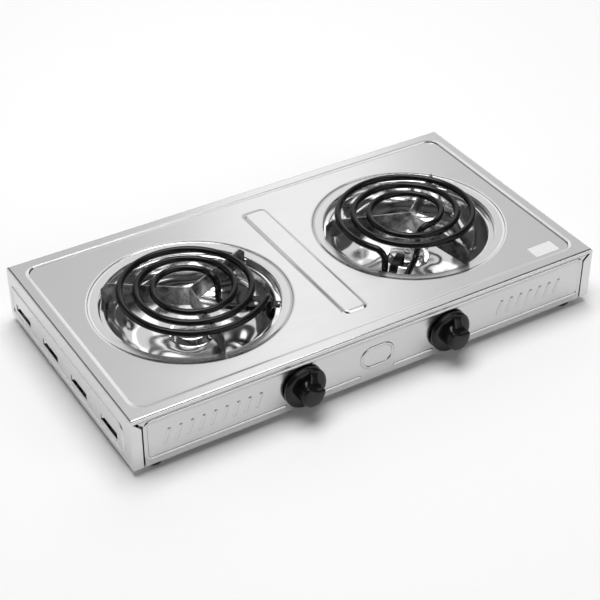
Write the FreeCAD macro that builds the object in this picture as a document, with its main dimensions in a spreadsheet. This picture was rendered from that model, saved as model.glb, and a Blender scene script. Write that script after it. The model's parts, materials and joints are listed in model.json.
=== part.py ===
"""Countertop hot plate with two coiled elements, as separate pieces in one document.

Frame: X runs from left to right, Y from front to back, Z up.  The origin is the middle of the
bounding box's bottom face, on the surface that the rubber feet stand on.
"""
import FreeCAD, Part
import Sketcher
import math
import os
import re

Vector = FreeCAD.Vector
UP = Vector(0, 0, 1)

# ---------------------------------------------------------------------------------------------
# Driving dimensions: alias, value in millimetres or degrees, meaning
# ---------------------------------------------------------------------------------------------
SIZES = (
    ("body_width", 500.0, "shell, side to side"),
    ("body_depth", 266.0, "shell, front to back"),
    ("body_height", 55.0, "shell, lower edge to top plate"),
    ("sheet", 0.8, "stainless sheet thickness"),
    ("edge_bend", 2.4, "outer bend radius of the top plate's edges"),
    ("border", 13.0, "plain border round the recessed field"),
    ("border_corner", 13.0, "corner radius of the recessed field"),
    ("field_drop", 1.2, "depth of the recessed field"),
    ("strip_width", 24.0, "raised strip between the burners, width"),
    ("strip_length", 192.0, "raised strip, length"),
    ("strip_rise", 1.6, "raised strip, height above the field"),
    ("strip_corner", 5.0, "raised strip, corner radius"),
    ("burner_gap", 15.0, "between each pressed band and the raised strip"),
    ("burner_setback", 2.0, "burner centres in front of the body's middle"),
    ("hole_radius", 86.0, "burner opening"),
    ("band_width", 10.0, "pressed band round each opening"),
    ("band_drop", 1.2, "fall of the pressed band"),
    ("lip_height", 2.0, "turned-down lip at the opening"),
    ("front_lip", 4.0, "turned-down lip along the top plate's front and rear edges"),
    ("side_flange", 10.0, "side wall's return flange at front and rear"),
    ("bottom_flange", 13.0, "side wall's return flange below"),
    ("flange_setback", 1.6, "lower flange's ends behind the shell's front and rear faces"),
    ("panel_gap", 1.6, "gap between the panels and the flanges"),
    ("panel_rise", 0.3, "panels' lower edge above the shell's"),
    ("panel_fall", 0.4, "panels' upper edge below the top plate's lip"),
    ("return_rise", 4.0, "panels' side returns above the shell's lower edge"),
    ("panel_return", 9.0, "depth of the panels' turned-in edges"),
    ("bead_width", 4.2, "raised bead, width"),
    ("bead_height", 1.1, "raised bead, height"),
    ("bead_corner", 5.0, "raised bead frame, corner radius"),
    ("bead_inset", 3.5, "front bead frame's centre inside the side flanges"),
    ("bead_below_top", 7.2, "front bead frame's centre below the top plate"),
    ("bead_above_edge", 6.8, "front bead frame's centre above the shell's lower edge"),
    ("bead_clear", 1.0, "lower front bead's ends clear of the knob skirts"),
    ("left_tuck", 4.0, "lower front bead's outer end tucked behind the left skirt's clearance"),
    ("right_tuck", 5.0, "lower front bead's inner end tucked behind the right skirt's clearance"),
    ("near_bead", 60.0, "lower front bead's inner ends from the knob axes"),
    ("rib_pitch", 11.4, "between the slanted ribs"),
    ("rib_width", 3.6, "slanted rib, width"),
    ("rib_slant", 4.4, "slanted rib, sideways lean"),
    ("left_ribs_outer", 18.0, "left slanted ribs inside the bead frame"),
    ("left_ribs_inner", 20.0, "left slanted ribs outside the knob skirt"),
    ("right_ribs_inner", 35.0, "right slanted ribs outside the knob skirt"),
    ("right_ribs_outer", 26.0, "right slanted ribs inside the bead frame"),
    ("rib_low", 34.5, "slanted ribs' lower end below the top plate"),
    ("rib_high", 22.5, "slanted ribs' upper end below the top plate"),
    ("oval_half_width", 17.0, "oval bead, half width to its centre line"),
    ("oval_half_height", 11.0, "oval bead, half height to its centre line"),
    ("oval_width", 3.2, "oval bead, width of the bead"),
    ("side_bead_front", 7.5, "side bead frame's centre behind the front flange"),
    ("side_bead_rear", 6.0, "side bead frame's centre in front of the rear edge"),
    ("side_bead_below_top", 18.0, "side bead frame's centre below the top plate"),
    ("side_bead_above_edge", 7.0, "side bead frame's centre above the lower edge"),
    ("vent_length", 33.0, "side vent slot, length"),
    ("vent_height", 7.0, "side vent slot, height"),
    ("vent_above_edge", 17.5, "side vent slots' middle above the lower edge"),
    ("vent_front", 12.25, "first side vent slot behind the bead frame's front"),
    ("vent_rear", 9.75, "last side vent slot in front of the bead frame's rear"),
    ("blade_inset", 4.5, "side vent slot, pressed end's reach into the body"),
    ("blade_length", 9.0, "side vent slot, pressed end's length"),
    ("foot_height", 7.0, "lower edge of the shell above the surface"),
    ("foot_radius", 9.0, "rubber foot"),
    ("foot_inset_x", 24.0, "foot centres inside the shell's sides"),
    ("foot_inset_y", 12.0, "foot centres inside the shell's front and rear"),
    ("foot_seat", 3.2, "foot screws' seat above the surface"),
    ("base_screw_inset", 40.0, "outer base screws inside the shell's front and rear"),
    ("panel_screw_inset", 45.0, "outer panel screws inside the shell's sides"),
    ("base_slot_half", 30.0, "base plate's cooling slots, half length"),
    ("base_slot_width", 4.0, "base plate's cooling slots, width"),
    ("base_slot_reach", 42.0, "base plate's cooling slots, row from the middle to the first edge"),
    ("bowl_sheet", 0.5, "drip bowl sheet thickness"),
    ("bowl_overlap", 8.0, "drip bowl, flange outside the opening"),
    ("neck_gap", 1.0, "drip bowl, neck inside the opening"),
    ("ledge_width", 5.5, "drip bowl, width of the ledge that holds the support"),
    ("bowl_taper", 2.5, "drip bowl, how far its wall leans in"),
    ("bowl_bend", 17.0, "drip bowl, height of the bend between wall and floor"),
    ("bowl_depth", 40.0, "drip bowl, top plate to bowl floor"),
    ("bend_width", 25.0, "drip bowl, width of the bend between wall and floor"),
    ("ledge_drop", 3.3, "drip bowl, flange to the ledge that holds the support"),
    ("boss_radius", 17.0, "drip bowl, raised middle"),
    ("boss_slope", 5.0, "drip bowl, width of the slope round the raised middle"),
    ("boss_rise", 5.0, "drip bowl, height of the raised middle"),
    ("boss_slack", 0.5, "drip bowl, screw hole radius over the screw's"),
    ("lead_room", 2.0, "drip bowl, window round the leads"),
    ("tube_radius", 3.25, "element sheath"),
    ("coil_gap", 13.0, "element, outermost turn's centre inside the opening"),
    ("coil_pitch", 15.6, "element, between turns"),
    ("coil_eye", 26.0, "element, least radius of the innermost turn"),
    ("coil_start", 10.0, "element, angle from the leads to the first turn"),
    ("coil_last_arc", 120.0, "element, sweep of the last part turn"),
    ("coil_rise", 12.3, "element sheath's centre above the top plate"),
    ("lead_drop", 20.0, "element leads' centre below the top plate"),
    ("lead_past", 18.0, "element leads' end outside the opening"),
    ("lead_bend", 11.0, "element leads, bend radius"),
    ("left_lead_turn", -36.0, "direction of the left element's leads"),
    ("right_lead_turn", -141.0, "direction of the right element's leads"),
    ("arm_thickness", 1.5, "element support, plate thickness"),
    ("arm_gap", 2.0, "element support, arm's end inside the opening"),
    ("arm_chamfer", 7.0, "element support, corner at the arm's end"),
    ("notch_depth", 3.0, "element support, how deep the sheath sits"),
    ("notch_slack", 0.15, "element support, notch radius over the sheath's"),
    ("clamp_width", 8.0, "element clamp, width of the strip"),
    ("clamp_sheet", 1.2, "element clamp, thickness"),
    ("clamp_step", 4.5, "element clamp, rise above the ledge"),
    ("clamp_end", 52.0, "element clamp, inner end from the burner centre"),
    ("clamp_tab", 12.0, "element clamp, height of the tab at its inner end"),
    ("rivet_radius", 1.2, "clamp rivet, shank"),
    ("rivet_inset", 2.0, "clamp rivet inside the support arm's end"),
    ("rivet_head", 2.4, "clamp rivet, radius of the domed head"),
    ("rivet_tail", 1.9, "clamp rivet, radius of the set end"),
    ("rivet_tail_height", 0.8, "clamp rivet, height of the set end"),
    ("pin_radius", 1.25, "element cold pin"),
    ("pin_length", 16.0, "element cold pin outside the sheath"),
    ("bead_radius", 2.9, "ceramic insulator round a cold pin"),
    ("insulator_length", 5.0, "ceramic insulator, length"),
    ("knob_spacing", 159.0, "between the two knob axes"),
    ("knob_drop", 31.0, "knob axes below the top plate"),
    ("skirt_radius", 22.0, "knob skirt"),
    ("skirt_height", 5.5, "knob skirt, back to front"),
    ("skirt_gap", 1.5, "knob skirt in front of the panel"),
    ("grip_radius", 11.0, "knob grip, half width"),
    ("grip_height", 23.0, "knob grip's front from the skirt's back"),
    ("grip_rounding", 2.6, "knob, rounding of the grip and the skirt's edge"),
    ("nut_room", 7.6, "knob, radius of the room for the control nut"),
    ("nut_room_depth", 3.5, "knob, depth of the room for the control nut"),
    ("collar_wall", 2.0, "knob, wall round the room for the control nut"),
    ("collar_setback", 0.6, "knob, collar behind the skirt's rear edge"),
    ("skirt_hollow", 3.2, "knob skirt, depth of the hollow behind it"),
    ("bore_cover", 7.0, "knob, what is left in front of the shaft's bore"),
    ("shaft_radius", 3.0, "control shaft"),
    ("shaft_clearance", 0.05, "radial running clearance of the control shaft"),
    ("bushing_radius", 4.75, "control bushing"),
    ("bushing_reach", 4.0, "control bushing in front of the panel"),
    ("nut_height", 2.5, "control nut"),
    ("nut_radius", 7.0, "control nut, across corners"),
    ("control_width", 36.0, "control housing, width"),
    ("control_tall", 30.0, "control housing, height"),
    ("control_deep", 22.0, "control housing, front to back"),
    ("tab_gap", 5.2, "control tabs, inner edge from the axis"),
    ("tab_width", 4.8, "control tab, width"),
    ("tab_length", 6.0, "control tab, behind the control"),
    ("tab_sheet", 0.8, "control tab, thickness"),
    ("left_pointer", 23.0, "left knob at rest, turned clockwise from upright"),
    ("right_pointer", 14.0, "right knob at rest, turned clockwise from upright"),
    ("screw_radius", 1.5, "case screw"),
    ("screw_head", 3.0, "case screw head radius"),
    ("screw_head_height", 1.8, "case screw head"),
    ("screw_length", 6.0, "case screw under the head"),
    ("hole_slack", 0.2, "screw hole radius over the screw's"),
    ("slot_pitch", 24.0, "between the rear panel's cooling slots"),
    ("slot_margin", 50.0, "rear panel's cooling slots inside the shell's sides"),
    ("block_width", 46.0, "terminal block, width"),
    ("block_deep", 18.0, "terminal block, front to back"),
    ("block_tall", 15.0, "terminal block, height"),
    ("way_pitch", 11.0, "terminal block, between the ways"),
    ("way_height", 6.0, "terminal block, ways above the base plate"),
    ("block_setback", 78.0, "terminal block behind the body's middle"),
    ("cord_radius", 3.6, "bore of the cord grommet"),
    ("grommet_radius", 7.0, "grommet neck"),
    ("grommet_flange", 9.5, "grommet flange"),
    ("grommet_proud", 3.0, "grommet flange behind the rear panel"),
    ("wire_radius", 1.3, "internal wire over its sleeve"),
    ("label_width", 28.0, "blank label, width"),
    ("label_depth", 16.0, "blank label, front to back"),
    ("label_inset_x", 40.5, "blank label's middle inside the shell's right side"),
    ("label_inset_y", 18.0, "blank label's front edge behind the shell's front"),
    ("label_thickness", 0.15, "blank label"),
)

doc = FreeCAD.newDocument("HotPlate")
sheet = doc.addObject("Spreadsheet::Sheet", "Sizes")
for row, (alias, value, meaning) in enumerate(SIZES, start=1):
    sheet.set(f"A{row}", meaning)
    sheet.set(f"B{row}", str(value))
    sheet.setAlias(f"B{row}", alias)
doc.recompute()

ALIASES = re.compile(r"\b(" + "|".join(alias for alias, value, meaning in SIZES) + r")\b")
finished = []


def size(alias):
    """Value of one driving dimension."""
    return float(getattr(sheet, alias))


def bind(thing, formulas):
    """Tie properties of an object to formulas on the sheet's aliases."""
    for prop, formula in formulas.items():
        thing.setExpression(prop, ALIASES.sub(r"Sizes.\1", formula))


def keep(thing, label):
    """Make an object one of the finished pieces."""
    thing.Label = label
    finished.append(thing)
    return thing


# ---------------------------------------------------------------------------------------------
# Formulas that several pieces share, on the sheet's aliases
# ---------------------------------------------------------------------------------------------
KNOB_REACH = "(skirt_gap + grip_height)"
MIDDLE_Y = f"({KNOB_REACH} - grommet_proud) / 2"
BURNER_X = "(strip_width / 2 + burner_gap + band_width + hole_radius)"
FOOT_X = "(body_width / 2 - foot_inset_x)"
FOOT_Y = "(body_depth / 2 - foot_inset_y)"
COIL_RADIUS = "(hole_radius - coil_gap)"
ARM_REACH = "(hole_radius - arm_gap)"
NECK = "(hole_radius - neck_gap)"
BOWL_WALL = f"({NECK} - ledge_width)"
LEAD_REACH = "(hole_radius + lead_past)"
FRONT_Y = f"({MIDDLE_Y} - body_depth / 2)"
REAR_Y = f"({MIDDLE_Y} + body_depth / 2)"
TOP_Z = "(foot_height + body_height)"
FIELD_Z = f"({TOP_Z} - field_drop)"
LIP_Z = f"({FIELD_Z} - band_drop - lip_height)"
LEDGE_Z = f"({LIP_Z} - ledge_drop)"
BASE_Z = "(foot_height + sheet)"
FLOOR_Z = "(foot_height + 2 * sheet)"
BURNER_Y = f"({MIDDLE_Y} - burner_setback)"
KNOB_Z = f"({TOP_Z} - knob_drop)"
BOSS_Z = f"({TOP_Z} - bowl_depth + boss_rise)"
CONTROL_Y = f"({FRONT_Y} + sheet)"
TERMINAL_Y = f"({MIDDLE_Y} + block_setback)"


def number(formula):
    """Work a formula out from the sheet's present values."""
    return float(sheet.evalExpression(ALIASES.sub(r"Sizes.\1", formula)))


MIDDLE = number(MIDDLE_Y)
FRONT = number(FRONT_Y)
REAR = number(REAR_Y)
TOP = number(TOP_Z)
FIELD = number(FIELD_Z)
LIP = number(LIP_Z)
LEDGE = number(LEDGE_Z)
BASE = number(BASE_Z)
FLOOR = number(FLOOR_Z)
SHEET = size("sheet")
SIDE = size("body_width") / 2
HALF_DEPTH = size("body_depth") / 2
BURNER = number(BURNER_X)
COIL = number(COIL_RADIUS)
ARM = number(ARM_REACH)
WALL = number(BOWL_WALL)
LEADS = number(LEAD_REACH)
BOTTOM = size("foot_height")
TAN_HALF_45 = math.tan(math.radians(22.5))


# ---------------------------------------------------------------------------------------------
# Small makers
# ---------------------------------------------------------------------------------------------
def box(name, corner, sides):
    """Part::Box; corner and sides are three formulas each."""
    solid = doc.addObject("Part::Box", name)
    bind(solid, dict(zip(("Length", "Width", "Height"), sides)))
    bind(solid, dict(zip(("Placement.Base.x", "Placement.Base.y", "Placement.Base.z"), corner)))
    return solid


def cylinder(name, start, radius, length, axis=UP):
    """Part::Cylinder from a start point of three formulas along an axis."""
    solid = doc.addObject("Part::Cylinder", name)
    solid.Placement.Rotation = FreeCAD.Rotation(UP, Vector(axis))
    bind(solid, {"Radius": radius, "Height": length})
    bind(solid, dict(zip(("Placement.Base.x", "Placement.Base.y", "Placement.Base.z"), start)))
    return solid


def fuse(name, members):
    """Part::MultiFuse of separate or touching solids."""
    joined = doc.addObject("Part::MultiFuse", name)
    joined.Shapes = members
    return joined


def cut(name, base, tools):
    """Part::Cut of one base by any number of tools."""
    result = doc.addObject("Part::Cut", name)
    result.Base = base
    result.Tool = tools[0] if len(tools) == 1 else fuse(name + "_tools", tools)
    return result


def feature(label, shape, position=Vector(), turn=0.0):
    """Part::Feature from a shape made in its own frame, placed and turned about Z."""
    thing = doc.addObject("Part::Feature", label)
    thing.Shape = shape
    thing.Placement = FreeCAD.Placement(position, FreeCAD.Rotation(UP, turn))
    return keep(thing, label)


def block(low, high):
    """Plain box shape between two corners."""
    span = Vector(high) - Vector(low)
    return Part.makeBox(span.x, span.y, span.z, Vector(low))


def prism(points, height, plane):
    """Prism on a polygon; plane maps (u, v) to a point, height is a vector."""
    corners = [plane(*point) for point in points]
    return Part.Face(Part.makePolygon(corners + corners[:1])).extrude(height)


def rounded_rectangle(half_x, half_y, radius, z):
    """Closed wire, lines and quarter arcs, about the Z axis at height z."""
    edges = []
    inner_x = half_x - radius
    inner_y = half_y - radius
    corners = ((1, 1, 0), (-1, 1, 90), (-1, -1, 180), (1, -1, 270))
    for index, (sign_x, sign_y, start) in enumerate(corners):
        centre = Vector(sign_x * inner_x, sign_y * inner_y, z)
        first, middle, last = (
            centre + radius * Vector(math.cos(math.radians(start + step)),
                                     math.sin(math.radians(start + step)), 0)
            for step in (0, 45, 90))
        edges.append(Part.Arc(first, middle, last).toShape())
        next_x, next_y, next_start = corners[(index + 1) % 4]
        follower = Vector(next_x * inner_x, next_y * inner_y, z) + radius * Vector(
            math.cos(math.radians(next_start)), math.sin(math.radians(next_start)), 0)
        edges.append(Part.LineSegment(last, follower).toShape())
    return Part.Wire(edges)


def frustum(half_x, half_y, radius, low, high, spread):
    """Rounded-rectangle block between two heights whose outline grows by spread on the way up."""
    bottom = rounded_rectangle(half_x, half_y, radius, low)
    top = rounded_rectangle(half_x + spread, half_y + spread, radius + spread, high)
    return Part.makeLoft([bottom, top], True, True)


def revolved(points, sweep=360.0):
    """Solid of revolution about Z from (radius, height) points."""
    corners = [Vector(radius, 0, height) for radius, height in points]
    face = Part.Face(Part.makePolygon(corners + corners[:1]))
    return face.revolve(Vector(), UP, sweep)


def rounded_path(points, share=0.45):
    """Wire of straight runs and tangent arcs through a hand-chosen route.

    Each arc trims its two runs by the given share of the shorter one.
    """
    points = [Vector(point) for point in points]
    edges = []
    here = points[0]
    for before, corner, after in zip(points, points[1:], points[2:]):
        arriving = (corner - before).normalize()
        leaving = (after - corner).normalize()
        trim = share * min((corner - before).Length, (after - corner).Length)
        first = corner - trim * arriving
        last = corner + trim * leaving
        half_turn = arriving.getAngle(leaving) / 2
        radius = trim / math.tan(half_turn)
        inward = (leaving - arriving).normalize()
        middle = corner + inward * (radius / math.cos(half_turn) - radius)
        edges.append(Part.LineSegment(here, first).toShape())
        edges.append(Part.Arc(first, middle, last).toShape())
        here = last
    edges.append(Part.LineSegment(here, points[-1]).toShape())
    return Part.Wire(edges)


def tube(path, radius):
    """Round bar along a wire of tangent lines and arcs."""
    start = path.Edges[0].valueAt(path.Edges[0].FirstParameter)
    heading = path.Edges[0].tangentAt(path.Edges[0].FirstParameter)
    section = Part.Wire(Part.makeCircle(radius, start, heading))
    solid = path.makePipeShell([section], True, True)
    expected = math.pi * radius ** 2 * path.Length
    if abs(solid.Volume / expected - 1) > 0.01:
        raise ValueError(f"tube volume {solid.Volume:.1f} differs from {expected:.1f}")
    return solid


def bead_section(width, height):
    """Half-moon section in the XZ plane: a chord on Z = 0 and an arc above it."""
    left = Vector(-width / 2, 0, 0)
    right = Vector(width / 2, 0, 0)
    arc = Part.Arc(left, Vector(0, 0, height), right).toShape()
    return Part.Face(Part.Wire([arc, Part.LineSegment(right, left).toShape()]))


def bead(points, corner, width, height, closed=False):
    """Raised bead on the XY plane along a route whose corners are rounded to one radius.

    An open bead ends in two half-round caps.
    """
    points = [Vector(u, v, 0) for u, v in points]
    ring = points + points[:2] if closed else points
    edges = []
    here = (points[0] + points[1]) / 2 if closed else points[0]
    for before, at, after in zip(ring, ring[1:], ring[2:]):
        arriving = (at - before).normalize()
        leaving = (after - at).normalize()
        half_turn = arriving.getAngle(leaving) / 2
        trim = corner * math.tan(half_turn)
        inward = (leaving - arriving).normalize()
        middle = at + inward * (corner / math.cos(half_turn) - corner)
        edges.append(Part.LineSegment(here, at - trim * arriving).toShape())
        edges.append(Part.Arc(at - trim * arriving, middle, at + trim * leaving).toShape())
        here = at + trim * leaving
    end = (points[0] + points[1]) / 2 if closed else points[-1]
    edges.append(Part.LineSegment(here, end).toShape())
    path = Part.Wire(edges)
    start = path.Edges[0].valueAt(path.Edges[0].FirstParameter)
    heading = path.Edges[0].tangentAt(path.Edges[0].FirstParameter)
    turn = math.degrees(math.atan2(heading.y, heading.x)) - 90
    section = bead_section(width, height)
    section.Placement = FreeCAD.Placement(start, FreeCAD.Rotation(UP, turn))
    solid = path.makePipeShell([section.OuterWire], True, True)
    if closed:
        return solid
    half = bead_section(width, height).common(
        block((0, -1, -1), (width, 1, 2 * height))).Faces[0]
    cap = half.revolve(Vector(), UP, 360)
    return solid.fuse([cap.translated(points[0]), cap.translated(points[-1])])


def rectangle_route(low_u, low_v, high_u, high_v):
    """Four corners of a bead frame, in order round it."""
    return [(low_u, low_v), (high_u, low_v), (high_u, high_v), (low_u, high_v)]


def on_plane(shape, origin, u_axis, outward):
    """Move a shape from the XY plane, Z outward, to a wall with the given axes."""
    v_axis = Vector(outward).cross(Vector(u_axis))
    rotation = FreeCAD.Rotation(Vector(u_axis), v_axis, Vector(outward), "ZXY")
    moved = shape.copy()
    moved.Placement = FreeCAD.Placement(Vector(origin), rotation).multiply(moved.Placement)
    return moved


# ---------------------------------------------------------------------------------------------
# Shell: top plate and both sides, pressed from one sheet
# ---------------------------------------------------------------------------------------------
VENTS = 4


def burner_places():
    """Centre and lead direction of each burner, in the shell's own frame."""
    return (("left", Vector(-BURNER, -size("burner_setback"), 0), size("left_lead_turn")),
            ("right", Vector(BURNER, -size("burner_setback"), 0), size("right_lead_turn")))


def pressed_form(inset):
    """Everything inside the sheet's outer skin, moved inward by inset."""
    half_x = SIDE - inset
    half_y = HALF_DEPTH - inset
    top = TOP - inset
    floor = FIELD - inset
    form = block((-half_x, -half_y, BOTTOM - inset), (half_x, half_y, top))
    rim = [edge for edge in form.Edges
           if all(abs(vertex.Z - top) < 0.001 for vertex in edge.Vertexes)]
    form = form.makeFillet(size("edge_bend") - inset, rim)

    shift = inset * TAN_HALF_45
    field_x = SIDE - size("border") - size("field_drop") + shift
    field_y = HALF_DEPTH - size("border") - size("field_drop") + shift
    rise = size("field_drop") + 1.0
    form = form.cut(frustum(field_x, field_y, size("border_corner") - size("field_drop"),
                            floor, floor + rise, rise))

    strip_x = size("strip_width") / 2 - shift
    strip_y = size("strip_length") / 2 - shift
    form = form.fuse(frustum(strip_x, strip_y, size("strip_corner"), floor - 0.01,
                             floor + size("strip_rise"), -size("strip_rise")).translated(
                                 Vector(0, -size("burner_setback"), 0)))

    outer = size("hole_radius") + size("band_width")
    inner = size("hole_radius")
    step = 0.45 * size("band_drop")
    band = ((0, floor + 5), (outer + shift, floor + 5), (outer + shift, floor),
            (outer + shift - step, floor - step), (inner, floor - size("band_drop")),
            (0, floor - size("band_drop")))
    for side, centre, turn in burner_places():
        form = form.cut(revolved(band).translated(centre))
    return form


def side_features(shell, side):
    """Bead frame, vent slots and their pressed ends on one side wall."""
    outward = Vector(side, 0, 0)
    along = Vector(0, side, 0)
    front = -HALF_DEPTH + size("side_flange") + size("side_bead_front")
    rear = HALF_DEPTH - size("side_bead_rear")
    low = BOTTOM + size("side_bead_above_edge")
    high = TOP - size("side_bead_below_top")
    route = rectangle_route(side * front, low, side * rear, high)
    corner = size("bead_corner") + 2
    raised = bead(route, corner, size("bead_width"), size("bead_height"), True)
    hollow = bead(route, corner, size("bead_width") - SHEET, size("bead_height"), True)
    shell = shell.fuse(on_plane(raised, outward * SIDE, along, outward))
    shell = shell.cut(on_plane(hollow, outward * (SIDE - SHEET), along, outward))

    length = size("vent_length")
    half_tall = size("vent_height") / 2
    vent_z = BOTTOM + size("vent_above_edge")
    first = front + size("vent_front")
    last = rear - size("vent_rear") - length
    for index in range(VENTS):
        start = first + index * (last - first) / (VENTS - 1)
        corner = Vector(side * SIDE - 2, start, vent_z - half_tall)
        shell = shell.cut(block(corner, corner + Vector(4, length, 2 * half_tall)))
        end = start + length
        wall = side * (SIDE - SHEET / 2)
        corners = (Vector(wall, end + 0.6, vent_z - half_tall),
                   Vector(wall, end + 0.6, vent_z + half_tall),
                   Vector(wall - side * size("blade_inset"), end - size("blade_length"),
                          vent_z + half_tall))
        shell = shell.fuse(Part.Face(Part.makePolygon(corners + corners[:1])).extrude(
            -SHEET * outward))
    return shell


def end_window(front):
    """Opening that a panel fills, between the flanges and under the lip; front is -1 or 1."""
    flange = SIDE - size("side_flange")
    lip = TOP - size("front_lip")
    slant = size("side_flange") - size("front_lip") + 1.5
    points = [(-flange, BOTTOM - 5), (-flange, lip - slant), (-flange - slant, lip - 0.2),
              (-flange - slant + 3, lip), (flange + slant - 3, lip), (flange + slant, lip - 0.2),
              (flange, lip - slant), (flange, BOTTOM - 5)]
    start = front * (HALF_DEPTH - SHEET - 0.5)
    return prism(points, Vector(0, front * (SHEET + 2), 0), lambda u, v: Vector(u, start, v))


def body_shell():
    """Formed sheet, its openings, lips, flanges, side beads and vents."""
    shell = pressed_form(0).cut(pressed_form(SHEET))
    shell = shell.cut(block((-SIDE, -2 * HALF_DEPTH, BOTTOM - 20), (SIDE, 2 * HALF_DEPTH, BOTTOM)))
    for front in (-1, 1):
        shell = shell.cut(end_window(front))
    radius = size("hole_radius")
    lip_top = FIELD - size("band_drop")
    for side, centre, turn in burner_places():
        hole = Part.makeCylinder(radius, 40, centre + Vector(0, 0, LIP - 1))
        lip = Part.makeCylinder(radius + SHEET, lip_top - LIP, centre + Vector(0, 0, LIP))
        shell = shell.fuse(lip).cut(hole)
    flange_end = HALF_DEPTH - size("flange_setback")
    for side in (-1, 1):
        near, far = sorted((side * SIDE, side * (SIDE - size("bottom_flange"))))
        shell = shell.fuse(block((near, -flange_end, BOTTOM), (far, flange_end, BASE)))
        shell = side_features(shell, side)
    for x, y in base_screw_places():
        shell = shell.cut(Part.makeCylinder(size("screw_radius") + size("hole_slack"), 6,
                                            Vector(x, y, BOTTOM - 2)))
    return shell.removeSplitter()


def base_screw_places():
    """Screws that hold the base plate to the side walls' lower flanges."""
    inset = SIDE - size("bottom_flange") / 2
    reach = HALF_DEPTH - size("base_screw_inset")
    return [(side * inset, y) for side in (-1, 1) for y in (-reach, 0, reach)]


# ---------------------------------------------------------------------------------------------
# Front and rear panels
# ---------------------------------------------------------------------------------------------
def panel_tray(front):
    """Panel sheet with its turned-in edges, in the shell's own frame; front is -1 or 1."""
    gap = size("panel_gap")
    half = SIDE - size("side_flange") - gap
    lip = TOP - size("front_lip") - size("panel_fall")
    slant = size("side_flange") - size("front_lip") - 1.0
    low = BOTTOM + size("panel_rise")
    side_low = BOTTOM + size("return_rise")
    points = [(-half, low), (-half, lip - slant), (-half - slant, lip),
              (half + slant, lip), (half, lip - slant), (half, low)]
    face = front * HALF_DEPTH
    inward = Vector(0, -front, 0)
    tray = prism(points, inward * SHEET, lambda u, v: Vector(u, face, v))
    reach = inward * size("panel_return")
    inner = half - SHEET

    def edge(low, high):
        return prism([(low[0], low[1]), (high[0], low[1]), (high[0], high[1]), (low[0], high[1])],
                     reach, lambda u, v: Vector(u, face, v))

    tray = tray.fuse([edge((-inner, FLOOR), (inner, FLOOR + SHEET)),
                      edge((-inner, lip - SHEET), (inner, lip)),
                      edge((-half, side_low), (-half + SHEET, lip - slant)),
                      edge((half - SHEET, side_low), (half, lip - slant))])
    return tray


def press(sheet_shape, outline, outward, face):
    """Press one bead out of a panel: raised outside, hollow inside."""
    points, corner, width, closed = outline
    height = min(size("bead_height"), width / 3)
    along = Vector(-outward.y, 0, 0)
    raised = bead(points, corner, width, height, closed)
    hollow = bead(points, corner, width - SHEET, height, closed)
    skin = Vector(0, face, 0)
    sheet_shape = sheet_shape.fuse(on_plane(raised, skin, along, outward))
    return sheet_shape.cut(on_plane(hollow, skin - outward * SHEET, along, outward))


def front_decoration():
    """Bead frame, slanted ribs and oval of the front panel as (points, corner, width, closed)."""
    half = SIDE - size("side_flange") - size("bead_inset")
    upper = TOP - size("bead_below_top")
    lower = BOTTOM + size("bead_above_edge")
    knob = size("knob_spacing") / 2
    near = knob - size("near_bead")
    clear = size("skirt_radius") + size("bead_clear")
    width = size("bead_width")
    corner = size("bead_corner")
    frame = [(-knob - clear + size("left_tuck"), lower), (-half, lower), (-half, upper),
             (half, upper), (half, lower), (knob + clear, lower)]
    outlines = [(frame, corner, width, False),
                ([(-knob + clear, lower), (-near, lower)], corner, width, False),
                ([(near, lower), (knob - clear + size("right_tuck"), lower)], corner, width, False)]
    low = TOP - size("rib_low")
    high = TOP - size("rib_high")
    pitch = size("rib_pitch")
    slant = size("rib_slant")
    ribs = ((-half + size("left_ribs_outer"), -knob - clear - size("left_ribs_inner")),
            (knob + clear + size("right_ribs_inner"), half - size("right_ribs_outer")))
    for first, last in ribs:
        for index in range(int((last - slant - first) / pitch + 1)):
            u = first + index * pitch
            outlines.append(([(u, low), (u + slant, high)], corner, size("rib_width"), False))
    middle = (low + high) / 2 - 1
    wide = size("oval_half_width")
    tall = size("oval_half_height")
    outlines.append((rectangle_route(-wide, middle - tall, wide, middle + tall),
                     tall - 0.2, size("oval_width"), True))
    return outlines


def panel_screw_places():
    """Screws up through each panel's lower return, along X."""
    return [x * (SIDE - size("panel_screw_inset")) for x in (-1, -0.33, 0.33, 1)]


def front_panel():
    """Front panel with control holes, its pressed frame and decoration."""
    outward = Vector(0, -1, 0)
    face = -HALF_DEPTH
    tray = panel_tray(-1)
    for outline in front_decoration():
        tray = press(tray, outline, outward, face)
    for side in (-1, 1):
        centre = Vector(side * size("knob_spacing") / 2, face - 3, number(KNOB_Z))
        tray = tray.cut(Part.makeCylinder(size("bushing_radius") + size("hole_slack"), 6, centre,
                                          Vector(0, 1, 0)))
    return with_screw_holes(tray, -1)


def with_screw_holes(tray, front):
    """Cut the panel screws' holes in a tray's lower return."""
    y = front * (HALF_DEPTH - size("panel_return") / 2 - SHEET / 2)
    for x in panel_screw_places():
        tray = tray.cut(Part.makeCylinder(size("screw_radius") + size("hole_slack"), 8,
                                          Vector(x, y, BOTTOM - 2)))
    return tray


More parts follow.
